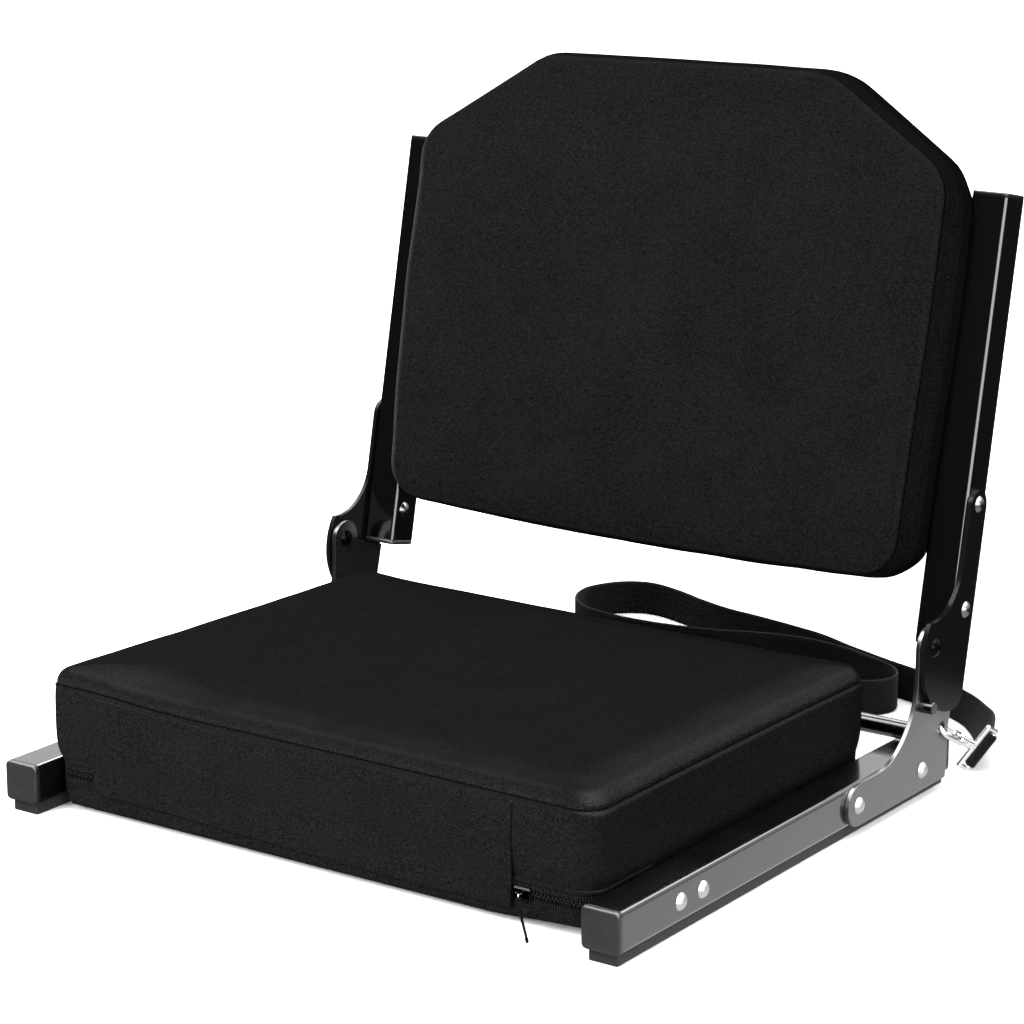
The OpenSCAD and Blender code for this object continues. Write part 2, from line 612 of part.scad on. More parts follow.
module hook(right) color("silver") on_side(right) at_hook() difference() {
    union() {
        translate([crown_a, 0, 0]) rotate([0, 0, -90]) rotate_extrude(angle = 180, $fn = FINE)
            translate([hook_half, 0]) circle(wire_r, $fn = SMALL);
        rod([crown_a, hook_half, 0], [nose_a, hook_half, 0], wire_r);
        rod([5, -hook_half, 0], [crown_a, -hook_half, 0], wire_r);
        rod([5, -hook_half, 0], [-1.5, -0.8, 0], wire_r);
        translate([5, -hook_half, 0]) sphere(wire_r, $fn = SMALL);
        rod([-neck_len, 0, 0], [0, 0, 0], neck_r);
        for (side = [-1, 1]) translate([0, 0, side * (ear_gap + ear_t / 2) - ear_t / 2]) {
            translate([gate_pin[0], gate_pin[1], 0]) cylinder(r = gate_eye_r, h = ear_t, $fn = SMALL);
            translate([-2, 0.4, 0]) cube([gate_pin[0] + 2, gate_pin[1] + 1.3, ear_t]);
        }
    }
    translate([gate_pin[0], gate_pin[1], -5]) cylinder(r = gate_pin_r + fixed_gap, h = 10, $fn = SMALL);
}
module hook_gate(right) color("#c8c8ca") on_side(right) at_hook() difference() {
    union() {
        translate([gate_pin[0], gate_pin[1], -gate_r])
            cylinder(r = gate_eye_r - 0.1, h = 2 * gate_r, $fn = SMALL);
        rod([gate_pin[0], gate_pin[1], 0], [nose_a - 0.5, hook_half, 0], gate_r);
    }
    translate([gate_pin[0], gate_pin[1], -5]) cylinder(r = gate_pin_r + turn_gap, h = 10, $fn = SMALL);
}
module gate_pins() color("silver") both_sides() at_hook()
    translate([gate_pin[0], gate_pin[1], -ear_gap - ear_t])
        cylinder(r = gate_pin_r, h = 2 * (ear_gap + ear_t), $fn = SMALL);

// Strap ring: two long bars across the webbing, joined at both ends, and a stem in the hook's neck
ring_lean = [0.45, 0.33, 0.83];
ring_w = unit(ring_lean - hook_d * (ring_lean * hook_d));
ring_n = cross(-hook_d, ring_w);
stem_len = 4;
module at_ring() at_base() translate(hook_at) rotate(turns(-hook_d, ring_w, ring_n))
    translate([-hook_len - neck_len - stem_len, 0, 0]) children();
ring_end = ring_half + wire_r;
module strap_ring(right) color("silver") on_side(right) at_ring() {
    for (a = [0, -ring_depth]) rod([a, -ring_end, 0], [a, ring_end, 0], wire_r);
    for (w = [-1, 1]) {
        rod([-ring_depth, w * ring_end, 0], [0, w * ring_end, 0], wire_r);
        for (a = [0, -ring_depth]) translate([a, w * ring_end, 0]) sphere(wire_r, $fn = SMALL);
    }
    rod([0, 0, 0], [stem_len, 0, 0], wire_r + 0.4);
}

// Sewn end loops round the rings' outer bars, with a tail towards the strap
bar_at = hook_at + hook_d * (hook_len + neck_len + stem_len + ring_depth);
tail_lean = [-8, 22, -1];
tail_d = unit(tail_lean - ring_w * (tail_lean * ring_w));
tail_n = cross(tail_d, ring_w);
tail_len = 20;
loop_r = wire_r + 0.25;
module at_tail() at_base() translate(bar_at) rotate(turns(tail_d, ring_w, tail_n)) children();
module strap_end_loops() color("#1a1a1b") both_sides() at_tail()
    translate([0, web_w / 2, 0]) rotate([90, 0, 0]) linear_extrude(web_w) difference() {
        union() {
            circle(loop_r + web_t, $fn = SMALL);
            translate([0, -web_t]) square([tail_len, 2 * web_t]);
        }
        circle(loop_r, $fn = SMALL);
    }

// Webbing strap: it stands on edge on the floor behind the seat, from the right hook to the left one
web_z = web_w / 2 + 0.3;
strap_route = [
    [215, 449, 13.4], [205, 462, 13], [193, 475, web_z], [180, 486, web_z], [163, 497, web_z],
    [146, 505, web_z], [129, 510.5, web_z], [110, 516.5, web_z], [90, 524, web_z], [67, 533, web_z],
    [39, 545.5, web_z], [16, 551.5, web_z], [-7, 556.5, web_z], [-30, 560.5, web_z], [-51, 564, web_z],
    [-77, 572.5, web_z], [-105, 584, web_z], [-130, 590, web_z], [-148, 584, web_z], [-160, 569, web_z],
    [-165, 549, web_z], [-157, 526, web_z], [-137, 510, web_z], [-110, 503.5, web_z], [-87, 503, web_z],
    [-64, 505, web_z], [-37, 510.5, web_z], [-6, 522.5, web_z], [16, 529, web_z], [40, 531.5, web_z],
    [67, 527, web_z], [90, 519, web_z], [109, 511, web_z], [122, 500, web_z], [127, 486, web_z],
    [122, 473, web_z], [110, 465, web_z], [94, 460, web_z], [70, 456, web_z], [30, 452, web_z],
    [-20, 450, web_z], [-70, 451, web_z], [-115, 454, web_z], [-150, 457, web_z], [-178, 460, web_z],
    [-198, 459, web_z], [-212, 452, 13.4]];
// The strap starts and ends where the end loops' tails end
tail_end = bar_at + tail_d * tail_len;
strap_points = concat([tail_end], strap_route, [[-tail_end[0], tail_end[1], tail_end[2]]]);
// Width direction: along the ring's bar at each end, upright between
function strap_up(i) = let (n = len(strap_points) - 1, at_start = max(0, 1 - i / 4),
    at_end = max(0, 1 - (n - i) / 4), mirrored = [-ring_w[0], ring_w[1], ring_w[2]])
    unit([0, 0, 1] * (1 - at_start - at_end) + ring_w * at_start + mirrored * at_end);
function strap_along(i) = let (n = len(strap_points) - 1)
    i == 0 ? tail_d : i == n ? [tail_d[0], -tail_d[1], -tail_d[2]]
        : unit(strap_points[i + 1] - strap_points[i - 1]);
function strap_ring_at(i) = let (up = strap_up(i), out = unit(cross(strap_along(i), up)), p = strap_points[i],
    w = web_w / 2, c = web_w / 2 - 2, t = web_t / 2)
    [p + up * w - out * t * 0.4, p + up * w + out * t * 0.4, p + up * c + out * t, p - up * c + out * t,
     p - up * w + out * t * 0.4, p - up * w - out * t * 0.4, p - up * c - out * t, p + up * c - out * t];
module strap_webbing() color("#1a1a1b") at_base() {
    n = len(strap_points);
    polyhedron([for (i = [0:n - 1]) each strap_ring_at(i)],
        concat([[for (k = [0:7]) k]], [[for (k = [0:7]) (n - 1) * 8 + 7 - k]],
            [for (i = [0:n - 2], k = [0:7]) let (a = i * 8 + k, b = i * 8 + (k + 1) % 8)
                each [[a, a + 8, b], [b, a + 8, b + 8]]]), convexity = 10);
}

// Back cushion, drawn flat as (x, height above the pivot) and stood up with its crown to the front
back_mid_s = 180;
back_corners = [[-back_bottom_half, back_bottom_s], [back_bottom_half, back_bottom_s], [back_half_w, back_mid_s],
    [back_half_w, back_shoulder_s], [back_top_half, back_top_s], [-back_top_half, back_top_s],
    [-back_half_w, back_shoulder_s], [-back_half_w, back_mid_s]];
back_radii = [26, 26, 60, 20, 26, 26, 20, 60];
back_depth = back_rear_p - back_seam_p;
back_levels = [[3, 0, 0], [0.4, 1.5, 0], [0, 5, 0.8], [0, back_depth - 4, 0.8],
    [0.8, back_depth - 1, 0.4], [1, back_depth, 0],
    [0.8, back_depth + back_crown * 0.2, 0], [4, back_depth + back_crown * 0.55, 0],
    [12, back_depth + back_crown * 0.82, 0], [40, back_depth + back_crown * 0.97, 0],
    [90, back_depth + back_crown, 0]];
module at_back_cushion() at_back() translate([0, back_rear_p, 0]) rotate([90, 0, 0]) children();
module back_cover() color("#222224") at_back_cushion() difference() {
    cushion(back_corners, back_radii, back_levels, 3, 3);
    cushion(back_corners, back_radii, inside(back_levels, cloth_t, 3, 4), 3, 3);
}
module back_foam() color("#8f8f8a") at_back_cushion() intersection() {
    cushion(back_corners, back_radii, inside(back_levels, cloth_t + pass_gap, 3, 4), 3, 3);
    translate([-seat_w, 0, cloth_t + back_board_t + 0.8])
        cube([2 * seat_w, 2 * back_top_s, back_depth + back_crown]);
}
board_in = 9;
module back_board() color("#b08a58") at_back_cushion() translate([0, 0, cloth_t + 0.3])
    linear_extrude(back_board_t) polygon(ring(back_corners, back_radii, board_in, 0, 3, 1));
module back_loops() color("#1a1a1b") at_back() for (x = [-loop_x, loop_x], s = [rail_low_s, rail_high_s])
    translate([x - loop_w / 2, 0, 0]) plate(0, loop_w) difference() {
        union() {
            translate([rail_p, s]) circle(bar_r + pass_gap + loop_t, $fn = SMALL);
            translate([back_rear_p, s - 18]) square([loop_t, 36]);
        }
        translate([rail_p, s]) circle(bar_r + pass_gap, $fn = SMALL);
    }

base_tube(true);  // base_tube_right
base_tube(false);  // base_tube_left
base_tube_caps();
floor_strips();
lower_bracket(true);  // lower_bracket_right
lower_bracket(false);  // lower_bracket_left
stop_pegs();
crossbar();
front_cross_strap();
rear_cross_strap();
front_strap_rivets();
bracket_rivets();
pivot_rivets();
pivot_washers();
seat_cover();
seat_foam();
seat_board();
seat_grip_pads();
zip_chain();
front_flap();
zip_slider();
zip_pull();
hook(true);  // hook_right
hook(false);  // hook_left
strap_ring(true);  // strap_ring_right
strap_ring(false);  // strap_ring_left
hook_gate(true);  // hook_gate_right
hook_gate(false);  // hook_gate_left
gate_pins();
strap_end_loops();
strap_webbing();
upright(true);  // upright_right
upright(false);  // upright_left
upright_caps();
upper_bracket(true);  // upper_bracket_right
upper_bracket(false);  // upper_bracket_left
upright_rivets();
back_rail(rail_low_s);  // back_rail_lower
back_rail(rail_high_s);  // back_rail_upper
back_cover();
back_foam();
back_board();
back_loops();
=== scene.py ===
"""Folding bleacher seat: padded seat and back, steel frame with riveted plates, zip, snap hooks and strap."""
import math

import bpy
import numpy as np
from mathutils import Matrix, Vector
from mathutils.bvhtree import BVHTree


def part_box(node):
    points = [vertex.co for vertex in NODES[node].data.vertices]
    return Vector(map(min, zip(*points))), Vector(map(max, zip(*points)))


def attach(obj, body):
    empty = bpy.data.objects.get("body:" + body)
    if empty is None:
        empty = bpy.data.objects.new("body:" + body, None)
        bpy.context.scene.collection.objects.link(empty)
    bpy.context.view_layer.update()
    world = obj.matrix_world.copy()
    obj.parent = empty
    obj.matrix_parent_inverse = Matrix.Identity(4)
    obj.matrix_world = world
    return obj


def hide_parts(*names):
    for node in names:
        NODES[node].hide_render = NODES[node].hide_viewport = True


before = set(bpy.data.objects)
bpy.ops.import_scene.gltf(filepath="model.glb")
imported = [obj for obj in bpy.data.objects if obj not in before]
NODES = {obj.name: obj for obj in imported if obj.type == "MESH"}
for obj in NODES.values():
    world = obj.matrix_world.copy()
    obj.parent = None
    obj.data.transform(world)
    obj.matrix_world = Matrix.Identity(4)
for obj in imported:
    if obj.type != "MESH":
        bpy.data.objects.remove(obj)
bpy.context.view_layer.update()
MM = 0.001
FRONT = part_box("base_tube_caps")[0][1]
X, Y, Z = Vector((1, 0, 0)), Vector((0, 1, 0)), Vector((0, 0, 1))

# Sizes of the frame in millimetres, as in the part's source
TUBE, TUBE_X, TUBE_Z, BASE_LEN, BASE_CAP = 25.0, 212.5, 20, 380.0, 4.0
UPRIGHT_X, UPRIGHT_P, UPRIGHT_LOW, UPRIGHT_HIGH, UPRIGHT_CAP = 216.5, 37.5, 1.5, 278.5, 3.0
SEAT_HALF, SEAT_FRONT, SEAT_REAR, SEAT_BOTTOM = 197.5, 18.0, 326.0, 9.0
SEAM_Z, SEAT_CROWN = 77.0, 12.0
PIVOT_Y, PIVOT_Z, RECLINE = 342.4, 98.6, math.radians(11.8)
BACK_REAR, BACK_SEAM, BACK_CROWN = 32.0, 3.0, 7.0
WEB_W, WEB_T = 25.0, 1.5
RING_BAR_R, RAIL_R, LOOP_HALF_T, FIT = 1.75, 6.0, 0.7, 0.3

# Directions of the leaning back: behind it, and up along it
BEHIND = Vector((0, math.cos(RECLINE), -math.sin(RECLINE)))
UPWARD = Vector((0, math.sin(RECLINE), math.cos(RECLINE)))


def at(x, y, z):
    """A point given in mm from the front of the base, in the frame."""
    return Vector((x * MM, FRONT + y * MM, z * MM))


def on_back(x, p, s):
    """A point of the leaning back: across, behind the pivot, and up along the back, in mm."""
    c, n = math.cos(RECLINE), math.sin(RECLINE)
    return at(x, PIVOT_Y + p * c + s * n, PIVOT_Z - p * n + s * c)


def set_up(thing, **levels):
    """Sets properties of a thing in Blender, and gives the thing back."""
    for key, value in levels.items():
        setattr(thing, key, value)
    return thing


def add(name, data):
    """A new object in the scene."""
    ob = bpy.data.objects.new(name, data)
    bpy.context.scene.collection.objects.link(ob)
    return ob


# Camera, fitted to the photograph
AZ, EL = math.radians(35.04), math.radians(14.38)
LENS, AIM, AWAY = 115.05, (14.61, 200.0, 182.62), 1.99464
camera_data = bpy.data.cameras.new("camera")
camera = add("camera", set_up(camera_data, lens=LENS, sensor_width=36, clip_start=0.05, clip_end=50))
back_way = Vector((math.sin(AZ) * math.cos(EL), -math.cos(AZ) * math.cos(EL), math.sin(EL)))
right_way = Vector((math.cos(AZ), math.sin(AZ), 0))
turn = Matrix((right_way, back_way.cross(right_way), back_way)).transposed().to_4x4()
camera.matrix_world = Matrix.Translation(at(*AIM) + back_way * AWAY) @ turn
bpy.context.scene.camera = camera


# Materials
class Net:
    """A node tree, with short ways to add nodes to it."""

    def __init__(self, tree):
        self.tree = tree

    def put(self, socket, value):
        """Links a socket to another one, or gives it a plain value."""
        if isinstance(value, bpy.types.NodeSocket):
            self.tree.links.new(value, socket)
        elif value is not None:
            socket.default_value = value

    def node(self, kind, *values, **named):
        """A new node. Values go to its inputs in turn, named ones to the input or property of that name."""
        n = self.tree.nodes.new("ShaderNode" + kind)
        for key in [k for k in named if hasattr(n, k)]:
            setattr(n, key, named.pop(key))
        for key, value in [*enumerate(values), *named.items()]:
            self.put(n.inputs[key], value)
        return n

    def math(self, operation, a, b=None):
        return self.node("Math", a, b, operation=operation).outputs[0]

    def times(self, a, b):
        return self.math("MULTIPLY", a, b)

    def plus(self, a, b):
        return self.math("ADD", a, b)

    def spread(self, value, low, high, out_low, out_high):
        """Maps a range of values onto another one, and stays at its ends outside it."""
        return self.node("MapRange", value, low, high, out_low, out_high).outputs["Result"]

    def along(self, vector, way):
        """How much a vector points one way."""
        way = Vector(way).normalized()
        return self.node("VectorMath", vector, way, operation="DOT_PRODUCT").outputs["Value"]

    def parts(self, vector):
        return self.node("SeparateXYZ", vector).outputs[:3]


class Surface(Net):
    """A material of its own."""

    def __init__(self, name):
        self.material = bpy.data.materials.new(name)
        self.material.use_nodes = True
        super().__init__(self.material.node_tree)

    def set(self, **levels):
        """Sets or links levels of the surface, named with _ for a space."""
        for key, value in levels.items():
            self.put(self.tree.nodes["Principled BSDF"].inputs[key.replace("_", " ")], value)

    def uv(self):
        return self.node("UVMap", uv_map="uv").outputs["UV"]

    def spot(self):
        return self.node("TexCoord").outputs["Object"]

    def normal(self):
        return self.node("NewGeometry").outputs["Normal"]

    def noise(self, scale, detail=2.0, rough=0.5, stretch=(1, 1, 1), place=None):
        place = self.node("Mapping", place or self.spot(), Scale=stretch).outputs[0]
        return self.node("TexNoise", place, Scale=scale, Detail=detail, Roughness=rough).outputs["Fac"]

    def tint(self, value, low, high, tone, darker, lighter):
        """The tone, made darker where the value is low and lighter where it is high."""
        n = self.node("ValToRGB", value)
        for end, place, gain in zip(n.color_ramp.elements, (low, high), (darker, lighter)):
            end.position = place
            end.color = (*[t * gain for t in tone], 1)
        return n.outputs["Color"]

    def bump(self, height, distance, strength=1.0, before=None):
        n = self.node("Bump", Distance=distance, Strength=strength, Height=height, Normal=before)
        return n.outputs["Normal"]


# Side panels keep their UVs below zero, and the seams have their places there
SIDE_V = -0.5
SEAT_SEAM_V = SIDE_V + 0.0752
BACK_SEAM_V = SIDE_V + 0.0319


def fabric(name, tone, pitch, uv=False, weave=0.00012, seam=None, gathers=0.0, band=1.0, painted_highlight=0.0,
           highlight_facing=(0.60, -0.34, 0.72)):
    """Woven cloth: threads that cross over and under, with lighter and darker yarns and a soft mottle.
    Painted light is added to its colour: painted shade in a seam's crease, painted shade on the side band
    below the seam where band is under 1, a painted highlight on the ridge just above the seam, and a painted
    highlight on faces turned towards highlight_facing.
    """
    s = Surface(name)
    place = s.uv() if uv else s.spot()
    across, up, _ = s.parts(place)
    turns = 2 * math.pi / (pitch * MM)
    cross = s.times(s.math("SINE", s.times(across, turns)), s.math("SINE", s.times(up, turns)))
    grain = s.noise(1000, 2.0, 0.65)
    yarn = s.noise(430, 3.0, 0.65, (1, 1, 3))
    cloud = s.noise(22, 3.0, 0.55)
    height = s.plus(s.plus(s.times(cross, 0.4), s.times(grain, 1.6)), s.times(yarn, 0.7))
    gain = fold = None
    # Painted shade darkens the seam's crease, and a band under 1 paints shade on the side band below the
    # seam.
    if seam is not None:
        off = s.math("ABSOLUTE", s.math("SUBTRACT", up, seam))
        gain = s.spread(off, 0.0004, 0.0012, 0.22, 1.0)
        for low, high in ((-0.001, 0.001), (-0.0145, -0.0135)):
            gain = s.times(gain, s.spread(up, seam + low, seam + high, band, 1.0))
        # A painted highlight lightens the ridge just above the seam.
        edge = s.times(s.spread(up, seam + 0.001, seam + 0.002, 0, 0.35),
                       s.spread(up, seam + 0.003, seam + 0.007, 1, 0))
        gain = s.times(gain, s.plus(edge, 1.0))
    if gathers:
        under = s.times(s.spread(up, seam - 0.03, seam - 0.002, 0, 1), s.math("LESS_THAN", up, seam + 0.006))
        fold = s.bump(s.times(s.noise(120, 2.0, 0.5, (1, 0.16, 1), place), under), gathers)
    # Painted highlight: the colour is lighter on faces turned towards highlight_facing, as if lit from there.
    if painted_highlight:
        gain = s.times(gain, s.spread(s.along(s.normal(), highlight_facing), 0.76, 0.97, 1.0, 1.0 + painted_highlight))
    speck = s.plus(s.times(grain, 0.62), s.times(yarn, 0.38))
    speck = s.plus(speck, s.times(s.math("SUBTRACT", cloud, 0.5), 0.10))
    worn = s.spread(s.parts(s.normal())[2], 0.3, 0.9, 1.0, 0.45)
    speck = s.plus(s.times(s.math("SUBTRACT", speck, 0.5), worn), 0.5)
    colour = s.tint(speck, 0.38, 0.64, tone, 0.42, 1.8)
    # gain holds the painted shade and painted highlights, and scales the colour by them.
    if gain is not None:
        colour = s.node("VectorMath", colour, operation="SCALE", Scale=gain).outputs["Vector"]
    s.set(Base_Color=colour, Roughness=s.spread(grain, 0.3, 0.7, 0.78, 0.95), Specular_IOR_Level=0.0,
          Normal=s.bump(height, weave, 1.0, fold))
    return s.material


def paint(name, tone, rough, coat, coat_rough, peel=0.00002, level=0.5):
    """Powder-coated steel: a fine orange-peel skin, slightly uneven gloss and dulled rubs."""
    s = Surface(name)
    normal = s.bump(s.noise(900), peel, 0.7)
    s.set(Normal=normal, Coat_Normal=normal,
          Base_Color=s.tint(s.noise(2600, 1.0), 0.35, 0.65, tone, 0.82, 1.2),
          Roughness=s.spread(s.noise(35, 4.0, 0.6), 0.3, 0.75, rough * 0.85, rough * 1.3),
          Specular_IOR_Level=level, Coat_Weight=coat, Coat_Roughness=coat_rough)
    return s.material


def metal(name, tone, rough, scratch=0.00001):
    """Bare or plated metal with fine handling marks."""
    s = Surface(name)
    marks = s.noise(700, 3.0, 0.65)
    s.set(Metallic=1.0, Normal=s.bump(marks, scratch, 0.5),
          Base_Color=s.tint(s.noise(160, 3.0, 0.6), 0.3, 0.62, tone, 0.8, 1.08),
          Roughness=s.spread(marks, 0.25, 0.75, rough * 0.75, rough * 1.5))
    return s.material


def plastic(name, tone, rough, grain=0.00005, scale=1400, level=0.5):
    """Moulded plastic or rubber with a fine matt grain."""
    s = Surface(name)
    fine = s.noise(scale)
    s.set(Normal=s.bump(fine, grain, 0.6),
          Base_Color=s.tint(s.noise(60, 3.0, 0.6), 0.35, 0.65, tone, 0.85, 1.15),
          Roughness=s.spread(fine, 0.3, 0.7, rough - 0.05, rough + 0.08), Specular_IOR_Level=level)
    return s.material


def webbing(name, tone):
    """Ribbed webbing: herringbone ribs along the strap, with woven edges."""
    s = Surface(name)
    along, across, _ = s.parts(s.uv())
    lean = s.plus(along, s.times(s.math("PINGPONG", across, 0.0021), 0.75))
    rib = s.math("SINE", s.times(lean, 2 * math.pi / 0.0016))
    cross = s.math("SINE", s.times(across, 2 * math.pi / 0.0014))
    grain = s.noise(1500, 2.0, 0.6)
    height = s.plus(s.plus(rib, s.times(cross, 0.45)), s.times(grain, 0.8))
    s.set(Normal=s.bump(height, 0.00013, 0.8), Roughness=0.66, Specular_IOR_Level=0.1,
          Base_Color=s.tint(s.plus(s.times(rib, 0.07), grain), 0.34, 0.66, tone, 0.7, 1.5),
          Sheen_Weight=0.05, Sheen_Roughness=0.4)
    return s.material


# Both cover cloths carry painted shade in their seams and painted highlights on their ridges and on faces
# turned one way. The back's cloth is the same cloth painted a little darker, as shade, with painted shade on
# its side band.
CLOTH = fabric("seat cover cloth", (0.0230, 0.0230, 0.0236), 0.9, True, seam=SEAT_SEAM_V, gathers=0.0024,
               painted_highlight=2.4)
BACK_CLOTH = fabric("back cover cloth", (0.0200, 0.0200, 0.0206), 0.9, True, seam=BACK_SEAM_V, band=0.75,
                    painted_highlight=3.6, highlight_facing=(-0.84, -0.54, 0.04))
ZIP_THREAD = fabric("zip edge thread", (0.042, 0.042, 0.042), 0.3, weave=0.00003)
TAPE = fabric("zip tape", (0.014, 0.014, 0.014), 0.7, weave=0.00008)
THREAD = fabric("seam thread", (0.030, 0.030, 0.0305), 0.3, weave=0.00003)
BRAID = fabric("pull cord braid", (0.020, 0.020, 0.020), 0.8, weave=0.0001)
WEBBING = webbing("strap webbing", (0.0052, 0.0052, 0.0055))
GLOSS = paint("black gloss coat", (0.004, 0.004, 0.0044), 0.2, 0.5, 0.05, level=0.4)
# The lower and upper plates have one black paint, given as two copies for how light falls on them: the lower
# plates' copy is lighter and glossier, painting the grey of a reflection, and the upper plates' copy is
# duller, as shade.
UPPER_PLATE_SHADED_COAT = paint("upper plate coat, shaded copy", (0.0145, 0.0145, 0.015), 0.16, 0.0, 0.03, 0.00001, 0.1)
LOWER_PLATE_LIT_COAT = paint("lower plate coat, lit copy", (0.024, 0.024, 0.0245), 0.3, 1.0, 0.2, 0.00003, 0.9)
COATED_TUBE = paint("tube coat", (0.006, 0.006, 0.0063), 0.22, 1.0, 0.08, level=0.7)
BLACK_PIN = paint("black rivet coat", (0.004, 0.004, 0.004), 0.12, 0.0, 0.08, 0.00002, 0.04)
RIVET = metal("rivet steel", (0.60, 0.60, 0.60), 0.3)
UPPER_RIVET = metal("upper rivet steel", (0.19, 0.19, 0.19), 0.26)
CHROME = metal("chrome", (0.84, 0.84, 0.85), 0.12, 0.000006)
NICKEL = metal("slider black nickel", (0.022, 0.022, 0.023), 0.24)
CAP = plastic("cap plastic", (0.056, 0.056, 0.057), 0.36)
CAP_DARK = plastic("upright cap plastic", (0.012, 0.012, 0.0125), 0.4)
RUBBER = plastic("strip rubber", (0.030, 0.030, 0.030), 0.75, 0.0001, 900)
NYLON = plastic("washer nylon", (0.72, 0.72, 0.68), 0.45)
TEETH = plastic("zip teeth", (0.006, 0.006, 0.006), 0.35, 0.00002, level=0.3)
GRIP = plastic("hook and loop", (0.02, 0.02, 0.02), 0.9, 0.0004, 700)
BOARD = plastic("board", (0.5, 0.36, 0.2), 0.7, 0.00005, 300)


# Mesh helpers
def new_mesh(name, verts, faces, mat, uvs=None, smooth=True, sharp=None):
    me = bpy.data.meshes.new(name)
    me.from_pydata([tuple(v) for v in verts], [], [tuple(f) for f in faces])
    me.materials.append(mat)
    if smooth:
        me.polygons.foreach_set("use_smooth", [True] * len(me.polygons))
    if uvs is not None:
        layer = me.uv_layers.new(name="uv")
        layer.data.foreach_set("uv", np.asarray(uvs, dtype=np.float32).ravel())
    me.validate()
    me.update()
    if sharp:
        me.set_sharp_from_angle(angle=math.radians(sharp))
    return add(name, me)


def place_piece(piece, body, slot, *stands_for):
    """The piece rides on a body, and stands for the CAD nodes named, if any, which are hidden. The slot is
    not used.
    """
    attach(piece, body)
    if stands_for:
        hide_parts(*stands_for)


def dress(names, mat, width=0.35, degrees=30, segments=2):
    """Gives CAD nodes their material, flat faces that shade flat, round ones smooth, and a worn edge."""
    for n in names:
        ob = NODES[n]
        for s in ob.material_slots:
            s.material = mat
        if not ob.material_slots:
            ob.data.materials.append(mat)
        ob.data.polygons.foreach_set("use_smooth", [True] * len(ob.data.polygons))
        more = ob.modifiers.new
        set_up(more("weld", "WELD"), merge_threshold=0.000002)
        if width:
            set_up(more("flat", "DECIMATE"), decimate_type="DISSOLVE", angle_limit=math.radians(1))
            set_up(more("edge", "BEVEL"), width=width * MM, segments=segments, limit_method="ANGLE",
                   angle_limit=math.radians(degrees), use_clamp_overlap=True)
        set_up(more("split", "EDGE_SPLIT"), split_angle=math.radians(15 if width else degrees))
        set_up(more("even", "WEIGHTED_NORMAL"), weight=100, mode="FACE_AREA_WITH_ANGLE")


def walls(rows, m, start=0):
    """Faces that join closed rows of m points, each to the next."""
    return [(a + k, a + (k + 1) % m, a + m + (k + 1) % m, a + m + k)
            for a in range(start, start + (rows - 1) * m, m) for k in range(m)]


def closed_rows(rows, m, start=0):
    """The same faces, and one over each end."""
    last = start + (rows - 1) * m
    return walls(rows, m, start) + [tuple(range(start, start + m))[::-1], tuple(range(last, last + m))]


def turned(faces):
    """The faces as seen from their other side."""
    return [(f[0], *f[:0:-1]) for f in faces]


def gather(parts):
    """Several lists of corners and faces as one."""
    verts, faces = [], []
    for v, f in parts:
        faces += [[i + len(verts) for i in q] for q in f]
        verts += list(v)
    return verts, faces


def tangents(centres):
    """Directions along a line of points."""
    last = len(centres) - 1
    return [(centres[min(last, i + 1)] - centres[max(0, i - 1)]).normalized() for i in range(last + 1)]


def catmull(points, per):
    """A smooth line through the points."""
    p = [Vector(q) for q in points]
    p = [p[0] * 2 - p[1]] + p + [p[-1] * 2 - p[-2]]
    out = []
    for i in range(1, len(p) - 2):
        a, q, c, d = p[i - 1:i + 3]
        for k in range(per):
            t = k / per
            out.append(0.5 * ((2 * q) + (c - a) * t + (2 * a - 5 * q + 4 * c - d) * t * t
                              + (3 * q - a - 3 * c + d) * t ** 3))
    return out + [p[-2]]


def smooth(v, low, high):
    """A soft step from 0 at low to 1 at high."""
    t = min(1.0, max(0.0, (v - low) / (high - low)))
    return t * t * (3 - 2 * t)


def left_of(v):
    return np.array([-v[1], v[0]])


def outline(corners, radii, step=0.8):
    """A dense closed line round corners with arcs, and the length along it at the middle of each arc."""
    c = [np.array(p, float) for p in corners]
    pts, mids = [], []
    for i, rad in enumerate(radii):
        a, q, e = c[i - 1], c[i], c[(i + 1) % len(c)]
        v0, v1 = (q - a) / np.linalg.norm(q - a), (e - q) / np.linalg.norm(e - q)
        bend = math.acos(max(-1, min(1, float(v0 @ v1))))
        mid = q - v0 * rad * math.tan(bend / 2) + left_of(v0) * rad
        steps = max(4, 2 * int(bend * rad / step / 2))
        mids.append(len(pts) + steps // 2)
        for k in range(steps + 1):
            t = bend * k / steps
            pts.append(mid - left_of(v0) * rad * math.cos(t) + v0 * rad * math.sin(t))
    dense, place = [pts[0]], {0: 0}
    for i in range(1, len(pts) + 1):
        q = pts[i % len(pts)]
        more = int(np.linalg.norm(q - dense[-1]) / 2.0)
        for k in range(1, more + 1):
            dense.append(dense[-1] + (q - dense[-1]) / (more + 2 - k))
        if i < len(pts):
            dense.append(q)
            place[i] = len(dense) - 1
    dense = np.array(dense)
    steps = np.linalg.norm(np.diff(np.vstack([dense, dense[:1]]), axis=0), axis=1)
    along = np.concatenate([[0], np.cumsum(steps)])
    return dense, along, [along[place[m]] for m in mids]


def walk(dense, along, s, reach):
    """Points at lengths along a closed line, with the directions there."""
    ring = np.vstack([dense, dense[:1]])

    def where(t):
        return np.stack([np.interp(np.mod(t, along[-1]), along, ring[:, k]) for k in (0, 1)], -1)

    d = where(s + reach) - where(s - reach)
    return where(s), d / np.linalg.norm(d, axis=-1, keepdims=True)


def anchor_pairs(anchors, total):
    """Each anchor with the next one ahead of it."""
    pairs = zip(anchors, anchors[1:] + anchors[:1])
    return [(a, e + total if e <= a else e) for a, e in pairs]


